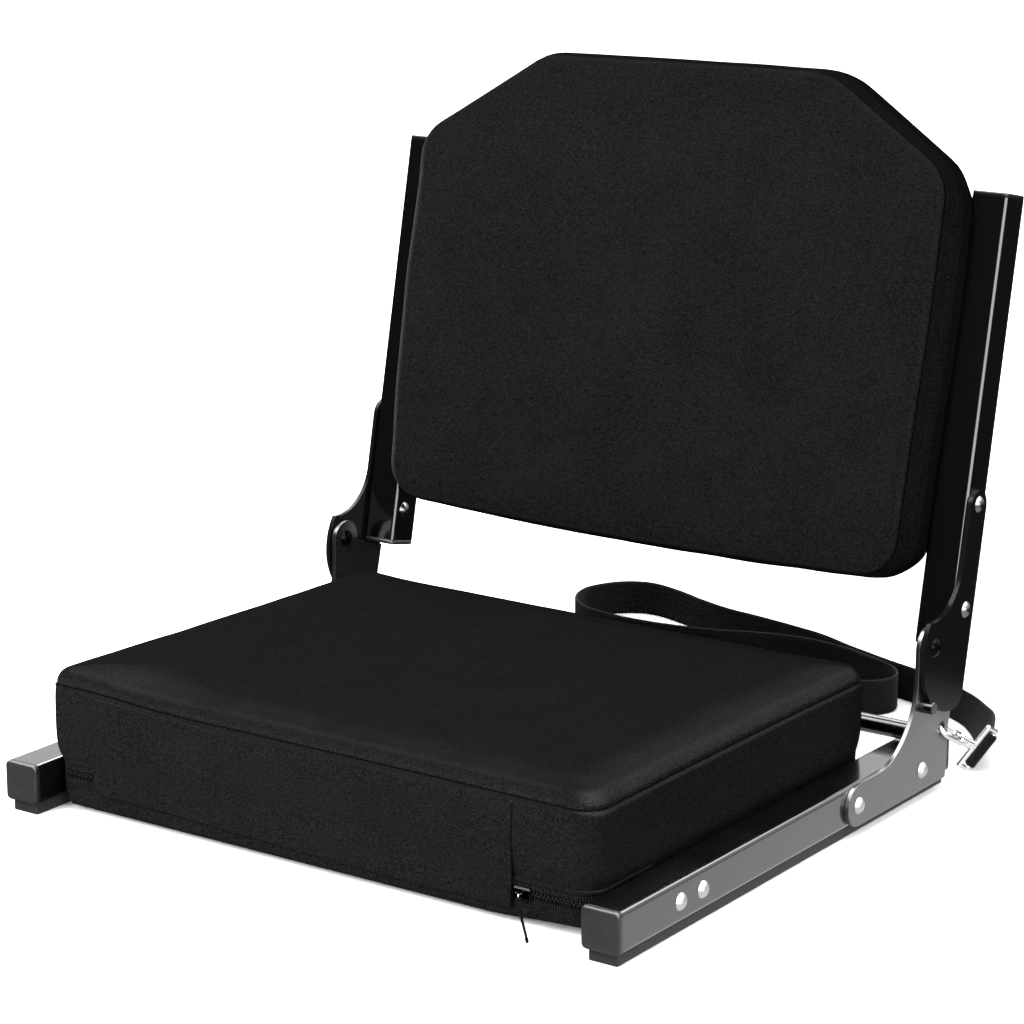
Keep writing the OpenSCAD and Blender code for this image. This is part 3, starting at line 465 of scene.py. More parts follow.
def to_outline(points, dense):
    """Distance of each point to the outline."""
    out = np.empty(len(points))
    for i in range(0, len(points), 2000):
        q = points[i:i + 2000]
        out[i:i + 2000] = np.sqrt(((q[:, None, :] - dense[None, ::2, :]) ** 2).sum(2)).min(1)
    return out


def pull_in(s, pairs, total):
    """0 at the corners and 1 halfway between them, for sides that draw in."""
    out = np.zeros(len(s))
    for a, e in pairs:
        t = np.mod(s - a, total) / (e - a)
        out = np.where((t >= 0) & (t <= 1), 4 * t * (1 - t), out)
    return out


# Points of a cushion's net from one corner to the next
NET = 80


def lap(x, y):
    """How far round the rim of a net a place on it lies, in points. The rim goes from -1 to 1 both ways."""
    if y <= -1 + 1e-9:
        k = x + 1
    elif x >= 1 - 1e-9:
        k = y + 3
    elif y >= 1 - 1e-9:
        k = 5 - x
    else:
        k = 7 - y
    return k / 2 * NET


class Pad:
    """A crowned closed cushion: rows round its sides, and a square net over its top and its bottom."""

    def __init__(self, name, corners, radii, anchor_at, rows, top, bottom, place, mat):
        """Rows are (inset, height, draw), where draw pulls a row in halfway between the anchored corners.

        Top gives a height for a distance from the outline, and bottom is one height.
        """
        self.dense, along, mids = outline(corners, radii)
        pairs = anchor_pairs([mids[i] for i in anchor_at], along[-1])
        run = np.array([a + (e - a) * k / NET for a, e in pairs for k in range(NET)])
        ring, way = walk(self.dense, along, run, 1.2)
        out = np.stack([way[:, 1], -way[:, 0]], 1)
        self.m = m = 4 * NET
        pull = pull_in(run, pairs, along[-1])
        flat = [ring - out * (inset + draw * pull)[:, None] for inset, _, draw in rows]
        self.verts = [(x, y, height) for row, (_, height, _) in zip(flat, rows) for x, y in row]
        self.faces = walls(len(rows), m)
        steps = [math.hypot(e[0] - a[0], e[1] - a[1]) for a, e in zip(rows, rows[1:])]
        climb = SIDE_V / MM + np.concatenate([[0], np.cumsum(steps)])
        ahead = np.append(run[1:], run[-1] + run[1] - run[0])
        self.uv = [corner for low, high in zip(climb, climb[1:]) for a, e in zip(run, ahead)
                   for corner in ((a, low), (e, low), (e, high), (a, high))]
        corners = np.array(corners, float)
        self.centre = (corners.max(0) + corners.min(0)) / 2
        self.bottom = self.net(0, flat[0], lambda d: np.full(len(d), bottom), True)
        self.top = self.net((len(rows) - 1) * m, flat[-1], top, False)
        placed = [place(*v) for v in self.verts]
        self.object = new_mesh(name, placed, self.faces, mat, np.array(self.uv) * MM)

    def net(self, base, edge, rise, flip):
        """Fills one end: the net's rim is a row, and its other points lie between the rim and the centre."""
        grid, spots = {}, []
        start = len(self.verts)
        for i in range(NET + 1):
            for j in range(NET + 1):
                x, y = 2 * i / NET - 1, 2 * j / NET - 1
                far = max(abs(x), abs(y))
                if far == 1:
                    grid[i, j] = base + round(lap(x, y)) % self.m
                    continue
                k = lap(x / far, y / far) if far else 0.0
                t = k - math.floor(k)
                k = math.floor(k) % self.m
                q = edge[k] * (1 - t) + edge[(k + 1) % self.m] * t
                grid[i, j] = start + len(spots)
                spots.append(self.centre + (q - self.centre) * far)
        spots = np.array(spots)
        self.verts += [(x, y, h) for (x, y), h in zip(spots, rise(to_outline(spots, self.dense)))]
        for i in range(NET):
            for j in range(NET):
                f = (grid[i, j], grid[i + 1, j], grid[i + 1, j + 1], grid[i, j + 1])
                f = f[::-1] if flip else f
                self.faces.append(f)
                self.uv += [self.verts[v][:2] for v in f]
        return list(range(start, len(self.verts)))

    def row(self, j):
        return list(range(j * self.m, (j + 1) * self.m))

    def settle(self, pinned, pressure, grow, cap):
        """Lets the cloth swell between its pinned seams, eases its wrinkles and keeps its points near."""
        ob, sc = self.object, bpy.context.scene
        frames = 20
        rest = np.array([v.co for v in ob.data.vertices])
        group = ob.vertex_groups.new(name="pinned")
        for weight, ids in pinned:
            group.add(ids, weight, "REPLACE")
        mod = ob.modifiers.new("cloth", "CLOTH")
        set_up(mod.settings, quality=5, mass=0.25, tension_stiffness=15.0, compression_stiffness=15.0,
               shear_stiffness=5, bending_stiffness=0.4, use_pressure=True, uniform_pressure_force=pressure,
               shrink_min=-grow, vertex_group_mass="pinned")
        mod.settings.effector_weights.gravity = 0
        set_up(mod.collision_settings, use_collision=False, use_self_collision=False)
        set_up(mod.point_cache, frame_start=1, frame_end=frames)
        for f in range(1, frames + 1):
            sc.frame_set(f)
        deps = bpy.context.evaluated_depsgraph_get()
        done = ob.evaluated_get(deps).to_mesh()
        go = np.array([v.co for v in done.vertices]) - rest
        ob.evaluated_get(deps).to_mesh_clear()
        ob.modifiers.remove(mod)
        ob.vertex_groups.remove(group)
        sc.frame_set(1)
        size = np.linalg.norm(go, axis=1)
        limit = cap * MM
        go *= (limit * np.tanh(size / limit) / np.maximum(size, 1e-9))[:, None]
        held = [i for weight, ids in pinned if weight == 1.0 for i in ids]
        rest += self.eased(go, held, 18)
        ob.data.vertices.foreach_set("co", rest.ravel())
        ob.data.update()

    def eased(self, values, held, times):
        """The values at the points, each drawn towards its neighbours' mean, but for the held ones."""
        ends = np.array([e.vertices for e in self.object.data.edges])
        degree = np.bincount(ends.ravel(), minlength=len(values))[:, None]
        keep = values[held]
        for _ in range(times):
            total = np.zeros_like(values)
            np.add.at(total, ends[:, 0], values[ends[:, 1]])
            np.add.at(total, ends[:, 1], values[ends[:, 0]])
            values = 0.4 * values + 0.6 * total / degree
            values[held] = keep
        return values

    def ease_top(self, times):
        """Takes the fold out of the top panel where its net turns the corners."""
        free = set(self.top)
        mesh = self.object.data
        spots = np.array([v.co for v in mesh.vertices])
        held = [i for i in range(len(spots)) if i not in free]
        mesh.vertices.foreach_set("co", self.eased(spots, held, times).ravel())
        mesh.update()

    def line(self, j):
        """The points of a row, with the surface normals there."""
        verts = self.object.data.vertices
        return [(verts[i].co.copy(), verts[i].normal.copy()) for i in self.row(j)]


def stitches(name, line, pitch, length, radius, closed=True):
    """Short rounded stitches along a line of (point, normal)."""
    sides, sink, reach = 6, 0.35, 0.0006
    line = line + line[:1] if closed else line
    spots = np.array([tuple(p) for p, _ in line])
    normals = np.array([tuple(v) for _, v in line])
    along = np.concatenate([[0], np.cumsum(np.linalg.norm(np.diff(spots, axis=0), axis=1))])
    count = int(along[-1] / (pitch * MM))
    places = (np.arange(count) + 0.5) * along[-1] / count

    def find(t, values):
        return np.stack([np.interp(t, along, values[:, k]) for k in range(3)], 1)

    ways = find(np.minimum(places + reach, along[-1]), spots) - find(np.maximum(places - reach, 0), spots)
    profile = [(-0.5, 0.35), (-0.36, 0.85), (0, 1), (0.36, 0.85), (0.5, 0.35)]
    verts, faces = [], []
    for c, v, t in zip(find(places, spots), find(places, normals), ways):
        t, v = Vector(t).normalized(), Vector(v)
        v = (v - t * v.dot(t)).normalized()
        w = t.cross(v)
        c = Vector(c) - v * radius * MM * sink
        faces += closed_rows(len(profile), sides, len(verts))
        for a, q in profile:
            mid = c + t * a * length * MM + v * (radius * MM * 0.5 * (1 - (2 * a) ** 2))
            for k in range(sides):
                th = 2 * math.pi * k / sides
                verts.append(mid + (v * math.cos(th) + w * math.sin(th)) * radius * q * MM)
    return new_mesh(name, verts, faces, THREAD)


def swept(name, centres, axes, section, place):
    """Webbing: a section swept along centres, each with the axes of its width and of its thickness."""
    m = len(section)
    run = [0.0]
    for a, e in zip(centres, centres[1:]):
        run.append(run[-1] + (e - a).length)
    verts = [place(*(c + up * w + side * t)) for c, (up, side) in zip(centres, axes) for w, t in section]
    faces = turned(closed_rows(len(centres), m))
    uvs = [(run[v // m], section[v % m][0]) for f in faces for v in f]
    return new_mesh(name, verts, faces, WEBBING, np.array(uvs) * MM, sharp=50)


# Webbing strap, along the same route as the part's source
HOOK_D = Vector((4.5, 39, -22)).normalized()
HOOK_AT = Vector((226.5, 362, 41))
RING_W = Vector((0.45, 0.33, 0.83))
RING_W = (RING_W - HOOK_D * RING_W.dot(HOOK_D)).normalized()
BAR_AT = HOOK_AT + HOOK_D * 55
TAIL_L = 20
TAIL_D = Vector((-8, 22, -1))
TAIL_D = (TAIL_D - RING_W * TAIL_D.dot(RING_W)).normalized()
TAIL_N = TAIL_D.cross(RING_W)
TAIL_END = BAR_AT + TAIL_D * TAIL_L
WEB_Z = 12.8
ON_FLOOR = [
    (193, 475), (180, 486), (163, 497), (146, 505), (129, 510.5), (110, 516.5), (90, 524), (67, 533),
    (39, 545.5), (16, 551.5), (-7, 556.5), (-30, 560.5), (-51, 564), (-77, 572.5), (-105, 584), (-130, 590),
    (-148, 584), (-160, 569), (-165, 549), (-157, 526), (-137, 510), (-110, 503.5), (-87, 503), (-64, 505),
    (-37, 510.5), (-6, 522.5), (16, 529), (40, 531.5), (67, 527), (90, 519), (109, 511), (122, 500),
    (127, 486), (122, 473), (110, 465), (94, 460), (70, 456), (30, 452), (-20, 450), (-70, 451),
    (-115, 454), (-150, 457), (-178, 460), (-198, 459)]
ROUTE = [(215, 449, 13.4), (205, 462, 13), *[(x, y, WEB_Z) for x, y in ON_FLOOR], (-212, 452, 13.4)]


def mirror_x(v):
    return Vector((-v.x, v.y, v.z))


def band(name, centres, ups, first, last, thick):
    """Flat webbing with rounded edges. Ups are its width directions, first and last lie along its ends."""
    half, t = WEB_W / 2, thick / 2
    section = [(half, 0), (half - 0.35, t * 0.72), (half - 1.3, t * 1.12), (half - 3.0, t), (0, t * 0.96),
               (-half + 3.0, t), (-half + 1.3, t * 1.12), (-half + 0.35, t * 0.72)]
    axes = []
    for way, up in zip([first, *tangents(centres)[1:-1], last], ups):
        up = (up - way * up.dot(way)).normalized()
        axes.append((up, way.cross(up)))
    return swept(name, centres, axes, section + [(-a, -c) for a, c in section], at)


PER_POINT = 7
line = catmull([TAIL_END] + ROUTE + [mirror_x(TAIL_END)], PER_POINT)
ups = []
for i in range(len(line)):
    near, far = [max(0.0, 1 - k / (4 * PER_POINT)) for k in (i, len(line) - 1 - i)]
    ups.append((Z * (1 - near - far) + RING_W * near + mirror_x(RING_W) * far).normalized())
strap = band("strap", line, ups, TAIL_D, -mirror_x(TAIL_D), WEB_T)
place_piece(strap, "base", "webbing", "strap_webbing")


def end_loop(name, side):
    """The strap's sewn end: webbing round the ring's outer bar, its two plies sewn to a tail."""
    rad = RING_BAR_R + 0.25 + WEB_T / 2
    ply = WEB_T / 2 + 0.02
    path = []
    for k in range(11):
        path.append((TAIL_L - 1.44 * k, ply + (rad - ply) * max(0, (k - 6) / 4) ** 1.5))
    for k in range(1, 24):
        a = math.pi / 2 + math.pi * k / 24
        path.append((rad * math.cos(a) + 0.6 * (1 - k / 12) ** 2, rad * math.sin(a)))
    path += [(a, -c) for a, c in reversed(path[:11])]
    centres = [side(BAR_AT + TAIL_D * a + TAIL_N * c) for a, c in path]
    return band(name, centres, [side(RING_W)] * len(path), side(-TAIL_D), side(TAIL_D), WEB_T - 0.1)


SEWN = [(19, -10), (19, 10), (8, 10), (8, -10), (19, -10), (8, 10), (8, -10), (19, 10)]
for tag, side in (("right", Vector), ("left", mirror_x)):
    loop = end_loop("strap_end_" + tag, side)
    place_piece(loop, "base", "webbing", "strap_end_loops")
    for letter, face in (("a", TAIL_N), ("b", -TAIL_N)):
        sewn = []
        for (a0, w0), (a1, w1) in zip(SEWN, SEWN[1:]):
            for t in np.arange(8) / 8:
                q = BAR_AT + TAIL_D * (a0 + (a1 - a0) * t) + RING_W * (w0 + (w1 - w0) * t)
                sewn.append((at(*side(q + face * (WEB_T + 0.02))), side(face)))
        stitches(f"strap_end_{tag}_stitch_{letter}", sewn, 2.6, 2.0, 0.3, False).parent = loop


# Seat cushion
def seat_top(d):
    return SEAM_Z + SEAT_CROWN * (0.80 * (1 - np.exp(-d / 4.4)) + 0.20 * (1 - np.exp(-d / 32)))


def front_share(y):
    """1 at the front of the seat and 0 at its rear."""
    return 1 - (y - SEAT_FRONT) / (SEAT_REAR - SEAT_FRONT)


def seat_grow(x, y, h):
    """How much higher the cushion stands towards its front left corner."""
    return 4.2 * smooth(-x, 95, 197) * min(1.0, 0.12 + front_share(y)) * smooth(h, 22, 84)


def seat_place(x, y, h):
    """The front edge sags under the flap, the left side swells, and the front left corner fills its seam."""
    sag = 4.6 * smooth(y, 52, 26) * (1 - smooth(h, 9, 19)) * (1 - 0.8 * smooth(x, 120, 185))
    wide = 3.2 * smooth(h, 10, 18) + 2.2 * smooth(h, 32, 37)
    wide *= smooth(-x, 150, 197) * max(0.0, front_share(y))
    fill = 2.6 * (1 - min(1.0, abs(h - 76.9) / 1.2))
    fill *= smooth(-x, 165, 192) * smooth(y, SEAT_FRONT + 45, SEAT_FRONT + 4)
    return at(x - wide - 0.8 * fill, y - 0.6 * fill, h - sag + seat_grow(x, y, h))


SEAT_CORNERS = [(-SEAT_HALF, SEAT_FRONT), (SEAT_HALF, SEAT_FRONT),
                (SEAT_HALF, SEAT_REAR), (-SEAT_HALF, SEAT_REAR)]
SEAT_R = 17
SEAT_RADII = [9, SEAT_R, SEAT_R, SEAT_R]
SEAT_ROWS = [
    (8.5, 9.0, 0), (5.6, 9.0, 0), (3.6, 9.5, 0), (2.4, 10.6, 0), (1.9, 12.2, 0), (2.1, 14, 0), (2.6, 16.5, 0),
    (2.7, 20, 0), (2.7, 24, 0), (2.7, 28, 0), (2.6, 32, 0), (1.7, 36, 0.4), (0.8, 40, 1.0), (0.3, 44, 1.4),
    (0.1, 48, 1.5), (0, 52, 1.5), (0, 56, 1.5), (0, 60, 1.5), (0, 64, 1.5), (0, 67.5, 1.5), (0, 70.5, 1.5),
    (0.1, 73, 1.5), (0.3, 75, 1.5), (0.9, 76.2, 1.5), (3.2, 76.9, 1.5), (1.5, 77.9, 1.4), (0.9, 79.0, 1.3),
    (1.2, 80.6, 1.1), (2.2, 82.4, 0.9), (4.0, 84.4, 0.6), (6.4, 86.0, 0.3),
    (9.2, float(seat_top(9.2)) + 0.4, 0)]
SEAT_SEAM_ROW, SEAT_LOWER_ROW, SEAT_FIRM_ROWS = 24, 20, 10
seat = Pad("seat_cushion", SEAT_CORNERS, SEAT_RADII, [0, 1, 2, 3], SEAT_ROWS, seat_top, SEAT_BOTTOM,
           seat_place, CLOTH)


def finish_pad(pad, seam, firm_rows, pressure, grow, cap):
    """Eases the top, then swells the cushion between its held bottom and its held seam."""
    firm = pad.bottom + [v for j in range(firm_rows) for v in pad.row(j)]
    pad.ease_top(4)
    beside = pad.row(seam - 1) + pad.row(seam + 1)
    pad.settle([(1.0, firm), (1.0, pad.row(seam)), (0.5, beside)], pressure, grow, cap)


finish_pad(seat, SEAT_SEAM_ROW, SEAT_FIRM_ROWS, 3.0, 0.007, 2.2)
place_piece(seat.object, "base", "cover_fabric", "seat_cover", "seat_foam")
for tag, j, length, radius in (("seam", SEAT_SEAM_ROW, 1.3, 0.33), ("lower", SEAT_LOWER_ROW, 2.3, 0.2)):
    place_piece(stitches("seat_stitch_" + tag, seat.line(j), 3.5, length, radius), "base", "cover_fabric")


# Front flap over the zip
FLAP_L, FLAP_R, FLAP_LOW, FLAP_HIGH, FLAP_T = -168.0, 142.0, 12.5, 76.0, 0.9
HEM, SIDE_HEM = 5, 2.2
seat_tree = BVHTree.FromPolygons([v.co for v in seat.object.data.vertices],
                                 [tuple(q.vertices) for q in seat.object.data.polygons])


def wall_y(x, z):
    """How far back the cushion's front lies at a place across and up, in mm from the front of the base."""
    hit = seat_tree.ray_cast(at(x, -20, z), Y)[0]
    return (hit.y - FRONT) / MM if hit else SEAT_FRONT + 2


def flap_y(x, z):
    """Front of the flap: sewn into the seam, lying on the cushion, and a little proud at its lower edge."""
    t = (z - FLAP_LOW) / (FLAP_HIGH - FLAP_LOW)
    lift = seat_grow(x, SEAT_FRONT, z)
    lie = min(wall_y(x, max(z, 34)), wall_y(x, min(max(z, 34) + 6, 73) + lift), SEAT_FRONT + 2.2)
    hang = smooth(t, 0.42, 0.0)
    wave = 0.35 * math.sin(x / 19.0 + 0.7) + 0.25 * math.sin(x / 7.3) + 0.2 * math.sin(x / 43.0 + z / 13.0)
    tuck = 2.6 * smooth(z, 73.8, 76.0)
    return lie - 1.05 + (0.6 * wave - 1.2) * hang + tuck


def flap():
    """A thin sheet with rounded edges: a front and a back layer of points, joined round their rim."""
    rim_steps = np.array([0, 0.5, 1.2, 2.4])
    xs = np.concatenate([FLAP_L + rim_steps, np.linspace(FLAP_L + 5, FLAP_R - 5, 74),
                         FLAP_R - rim_steps[::-1]])
    zs = np.concatenate([FLAP_LOW + np.array([0, 0.4, 1.0, 2.2]), np.linspace(16.5, 71, 18),
                         [72.6, 73.8, 74.8, 75.4, FLAP_HIGH]])
    nx, nz = len(xs), len(zs)
    layer = nx * nz
    front, back = [], []
    for x in xs:
        for z in zs:
            edge = min(x - FLAP_L, FLAP_R - x, z - FLAP_LOW)
            inset = 0.5 * (1 - min(1, edge / 1.0)) ** 2
            y = flap_y(x, z) + inset
            short = 4.5 * smooth(-x, -60, 150) * (1 - smooth(z, FLAP_LOW, 55))
            height = z + short + seat_grow(x, SEAT_FRONT, z)
            front.append(at(x, y, height))
            back.append(at(x, y + FLAP_T - 2 * inset, height))
    faces = []
    for i in range(nx - 1):
        for j in range(nz - 1):
            f = [i * nz + j, (i + 1) * nz + j, (i + 1) * nz + j + 1, i * nz + j + 1]
            faces += [f, [layer + v for v in f][::-1]]
    rim = ([i * nz for i in range(nx)] + [(nx - 1) * nz + j for j in range(1, nz)]
           + [i * nz + nz - 1 for i in range(nx - 2, -1, -1)] + list(range(nz - 2, 0, -1)))
    faces += [[e, a, a + layer, e + layer] for a, e in zip(rim, rim[1:] + rim[:1])]
    uvs = [(xs[v % layer // nz], zs[v % nz]) for f in faces for v in f]
    return new_mesh("seat_flap", front + back, faces, CLOTH, np.array(uvs) * MM, sharp=60)


flap_piece = flap()
place_piece(flap_piece, "base", "cover_fabric", "front_flap")
up_side = np.linspace(FLAP_LOW + HEM, FLAP_HIGH - 2, 30)
for tag, places in (("hem", [(x, FLAP_LOW + HEM) for x in np.linspace(FLAP_L + 2, FLAP_R - 2, 120)]),
                    ("right", [(FLAP_R - SIDE_HEM, z) for z in up_side]),
                    ("left", [(FLAP_L + SIDE_HEM, z) for z in up_side])):
    sewn = [(at(x, flap_y(x, z), z), -Y) for x, z in places]
    stitches("flap_stitch_" + tag, sewn, 3.3, 2.5, 0.24, False).parent = flap_piece


# Zip: tape, coil teeth, slider and pull
ZIP_Z, ZIP_INSET, ZIP_END = 22.0, 2.7, 60.0
ZIP_HALF = SEAT_HALF - SEAT_R + SEAT_R * math.pi / 2 + ZIP_END - SEAT_R
zip_dense, zip_along, _ = outline(SEAT_CORNERS, SEAT_RADII)
ZIP_START = zip_along[np.argmin(np.abs(zip_dense[:, 0]) + np.abs(zip_dense[:, 1] - SEAT_FRONT) * 10)]
SIGNS = [(sx, sy, sz) for sx in (-1, 1) for sy in (-1, 1) for sz in (-1, 1)]


def block(low, high, cut):
    """Corners and faces of a small block with cut edges: each of its corners is three points."""
    low, high = Vector(low), Vector(high)
    mid, half = (low + high) / 2, (high - low) / 2
    verts = [Vector([mid[k] + s[k] * (half[k] if k == axis else half[k] - cut) for k in range(3)])
             for axis in range(3) for s in SIGNS]
    faces = []
    for axis in range(3):
        first, second = (axis + 1) % 3, (axis + 2) % 3

        def spot(on, *signs):
            sign = dict(zip((axis, first, second), signs))
            return on * 8 + SIGNS.index((sign[0], sign[1], sign[2]))

        for s in (-1, 1):
            f = [spot(axis, s, -1, -1), spot(axis, s, 1, -1), spot(axis, s, 1, 1), spot(axis, s, -1, 1)]
            faces.append(f if s > 0 else f[::-1])
        for s, t in ((-1, -1), (-1, 1), (1, -1), (1, 1)):
            f = [spot(first, -1, s, t), spot(first, 1, s, t), spot(second, 1, s, t), spot(second, -1, s, t)]
            faces.append(f if s * t < 0 else f[::-1])
    for k, s in enumerate(SIGNS):
        f = [k, k + 8, k + 16]
        faces.append(f if s[0] * s[1] * s[2] > 0 else f[::-1])
    return verts, faces


def zip_at(s, depth, z):
    """A point on the zip and its directions, given along it from the front's middle, outwards, and up."""
    q, d = walk(zip_dense, zip_along, ZIP_START + s, 0.8)
    out = np.array([d[1], -d[0]])
    q = q + out * (depth - ZIP_INSET)
    return at(q[0], q[1], z + 3.5 * smooth(-q[0], 60, 185)), Vector((*d, 0)), Vector((*out, 0))


def zip_strip(z0, z1, depth):
    """A thin ribbon along the zip, with a rolled edge."""
    count = max(2, int(2 * ZIP_HALF / 4))
    profile = [(0, z0), (depth * 0.8, z0), (depth, z0 + 0.25), (depth, z1 - 0.25), (depth * 0.8, z1), (0, z1)]
    verts = [zip_at(-ZIP_HALF + 2 * ZIP_HALF * i / count, d, ZIP_Z + z)[0]
             for i in range(count + 1) for d, z in profile]
    return verts, turned(closed_rows(count + 1, len(profile)))


def zip_block(s, half, d0, d1, z0, z1, cut):
    """A small block on the zip with cut edges."""
    verts, faces = block((-half, d0, ZIP_Z + z0), (half, d1, ZIP_Z + z1), cut)
    o, along, out = zip_at(s, 0, 0)
    return [o + (along * q.x + out * q.y + Z * q.z) * MM for q in verts], [f[::-1] for f in faces]


def zip_places(pitch):
    """Places along the zip, one pitch apart."""
    return [-ZIP_HALF + (i + 0.5) * pitch for i in range(int(2 * ZIP_HALF / pitch))]


tape = new_mesh("zip_tape", *gather([zip_strip(-6.5, -0.3, 0.75), zip_strip(0.3, 6.5, 0.75)]), TAPE, sharp=35)
coil = [zip_block(s, 0.42, 0.7, 1.75, -0.5 if i % 2 else -1.65, 1.65 if i % 2 else 0.5, 0.18)
        for i, s in enumerate(zip_places(1.3))]
teeth = new_mesh("zip_teeth", *gather(coil), TEETH, smooth=False)
rows_sewn = [zip_block(s, 0.36, 0.6, 1.1, z - 1.5, z + 1.5, 0.16)
             for s in zip_places(1.7) for z in (-4.1, 4.1)]
zip_thread = new_mesh("zip_edge_stitch", *gather(rows_sewn), ZIP_THREAD, smooth=False)
place_piece(tape, "base", "zip_tape", "zip_chain")
place_piece(teeth, "base", "zip_tape")
place_piece(zip_thread, "base", "zip_tape")
verts, faces = gather([zip_strip(6.0, 8.6, 1.15), zip_strip(-8.2, -6.0, 1.0)])
hems = new_mesh("zip_hems", verts, faces, CLOTH, np.zeros((sum(len(f) for f in faces), 2)), sharp=50)
place_piece(hems, "base", "cover_fabric")


# Back cushion
def back_top(d):
    return BACK_REAR - BACK_SEAM + BACK_CROWN * (0.84 * (1 - np.exp(-d / 5.0)) + 0.16 * (1 - np.exp(-d / 36)))


def back_place(x, s, h):
    """The pad hangs a little crooked, its lower and upper sides bow out, and its other sides swell."""
    across = 1 - (x / 202) ** 2
    low, high = smooth(s, 110, 37), smooth(s, 200, 345)
    right = 5.0 * smooth(x, 150, 196) * (1 - smooth(h, 12, 28))
    right *= smooth(s, 36, 56) * (1 - smooth(s, 262, 285))
    left = 3.4 * smooth(-x, 150, 198) * smooth(s, 50, 120) * (1 - smooth(s, 185, 275))
    return on_back(x - 3 * high + right - left, BACK_REAR - h,
                   s - 6.5 * across * low - 1.5 * low + 3.0 * across * high + 0.012 * x * high)


BACK_CORNERS = [(-198, 37), (198, 37), (202, 180), (203, 288),
                (112, 345), (-106, 345), (-202, 286), (-202, 180)]
BACK_RADII = [26, 26, 60, 32, 62, 32, 34, 60]
SEAM_H = BACK_REAR - BACK_SEAM
BACK_ROWS = [
    (3.2, 0, 0), (1.4, 0.3, 0), (0.5, 1.2, 0), (0.1, 2.8, 0.1), (0, 5, 0.2), (0, 8, 0.4), (0, 11, 0.5),
    (0.1, 14.5, 0.6), (0.2, 18, 0.8), (0.5, 21, 1.0), (0.9, 23.5, 1.2), (1.4, 25.5, 1.2), (2.0, 27.2, 1.2),
    (2.5, 28.3, 1.2), (3.6, SEAM_H, 1.2), (2.9, SEAM_H + 0.8, 1.1), (3.1, SEAM_H + 1.9, 1.0),
    (3.9, SEAM_H + 3.0, 0.8), (5.2, float(back_top(4.6)), 0.5), (7.0, float(back_top(6.6)), 0.2),
    (9.8, float(back_top(9.6)), 0)]
BACK_SEAM_ROW, BACK_SIDE_ROW, BACK_FIRM_ROWS = 14, 9, 3
back = Pad("back_cushion", BACK_CORNERS, BACK_RADII, [0, 1, 3, 6], BACK_ROWS, back_top, 0.0,
           back_place, BACK_CLOTH)
finish_pad(back, BACK_SEAM_ROW, BACK_FIRM_ROWS, 2.0, 0.005, 1.4)
place_piece(back.object, "back", "cover_fabric", "back_cover", "back_foam")
for tag, j, length, radius in (("seam", BACK_SEAM_ROW, 1.2, 0.3), ("side", BACK_SIDE_ROW, 2.2, 0.18)):
    place_piece(stitches("back_stitch_" + tag, back.line(j), 3.3, length, radius), "back", "cover_fabric")


# Caps with moulded round edges
def caps(name, spots, mat, face, edge, body, node):
    """Moulded end caps: a dished face with round edges. A spot is (origin, x axis, y axis, outward axis)."""
    profile = [(0.0, 0.0), (0.0, face - edge), (0.06 * edge, face - 0.62 * edge),
               (0.29 * edge, face - 0.29 * edge), (0.62 * edge, face - 0.06 * edge), (edge, face),
               (edge + 1.6, face + 0.02), (edge + 3.2, face - 0.12)]
    corner, dish, arc = 3.2, 0.25, 6
    ring = []
    for cx, cy, start in ((1, 1, 0), (-1, 1, 90), (-1, -1, 180), (1, -1, 270)):
        for k in range(arc + 1):
            a = math.radians(start + 90 * k / arc)
            ring.append((cx, cy, math.cos(a), math.sin(a)))
    m = len(ring)
    last = (len(profile) - 1) * m
    faces = walls(len(profile), m) + [(last + k, last + (k + 1) % m, last + m) for k in range(m)]
    faces.append(range(m)[::-1])
    parts = []
    for o, ex, ey, ez in spots:
        verts = []
        for inset, h in profile:
            rad = max(corner - inset, 0.6)
            flat = TUBE / 2 - inset - rad
            verts += [o + (ex * (cx * flat + rad * ca) + ey * (cy * flat + rad * sa) + ez * h) * MM
                      for cx, cy, ca, sa in ring]
        parts.append((verts + [o + ez * (face - dish) * MM], faces))
    place_piece(new_mesh(name, *gather(parts), mat), body, "cap_plastic", node)


base_spots, upright_spots = [], []
for side in (1, -1):
    base_spots.append((at(side * TUBE_X, BASE_CAP, TUBE_Z), X, Z, -Y))
    base_spots.append((at(side * TUBE_X, BASE_LEN - BASE_CAP, TUBE_Z), X, -Z, Y))
    upright_spots.append((on_back(side * UPRIGHT_X, UPRIGHT_P, UPRIGHT_HIGH), X, BEHIND, UPWARD))
    upright_spots.append((on_back(side * UPRIGHT_X, UPRIGHT_P, UPRIGHT_LOW), X, -BEHIND, -UPWARD))
caps("tube_caps", base_spots, CAP, BASE_CAP, 1.5, "base", "base_tube_caps")
caps("upright_end_caps", upright_spots, CAP_DARK, UPRIGHT_CAP, 0.9, "back", "upright_caps")


# Zip slider and its pull
SLIDER_X, SLIDER_END, CHAIN_Y, LUG_R = 143.8, 154.1, 18.8, 1.6
LUG_Y = CHAIN_Y - 1.2 - LUG_R
LUG_X = SLIDER_X + 5
slider_parts = [block((SLIDER_X - 0.5, CHAIN_Y - 1.3, ZIP_Z - 3.2),
                      (SLIDER_END + 0.5, CHAIN_Y - 0.2, ZIP_Z + 3.2), 0.5)]
for low in (2.6, -3.6):
    slider_parts.append(block((SLIDER_X, CHAIN_Y - 0.8, ZIP_Z + low),
                              (SLIDER_END, CHAIN_Y + 1.0, ZIP_Z + low + 1), 0.3))
lug = [(LUG_Y + LUG_R * math.cos(math.radians(a)), ZIP_Z + LUG_R * math.sin(math.radians(a)))
       for a in range(90, 271, 15)] + [(CHAIN_Y - 0.9, ZIP_Z - LUG_R), (CHAIN_Y - 0.9, ZIP_Z + LUG_R)]
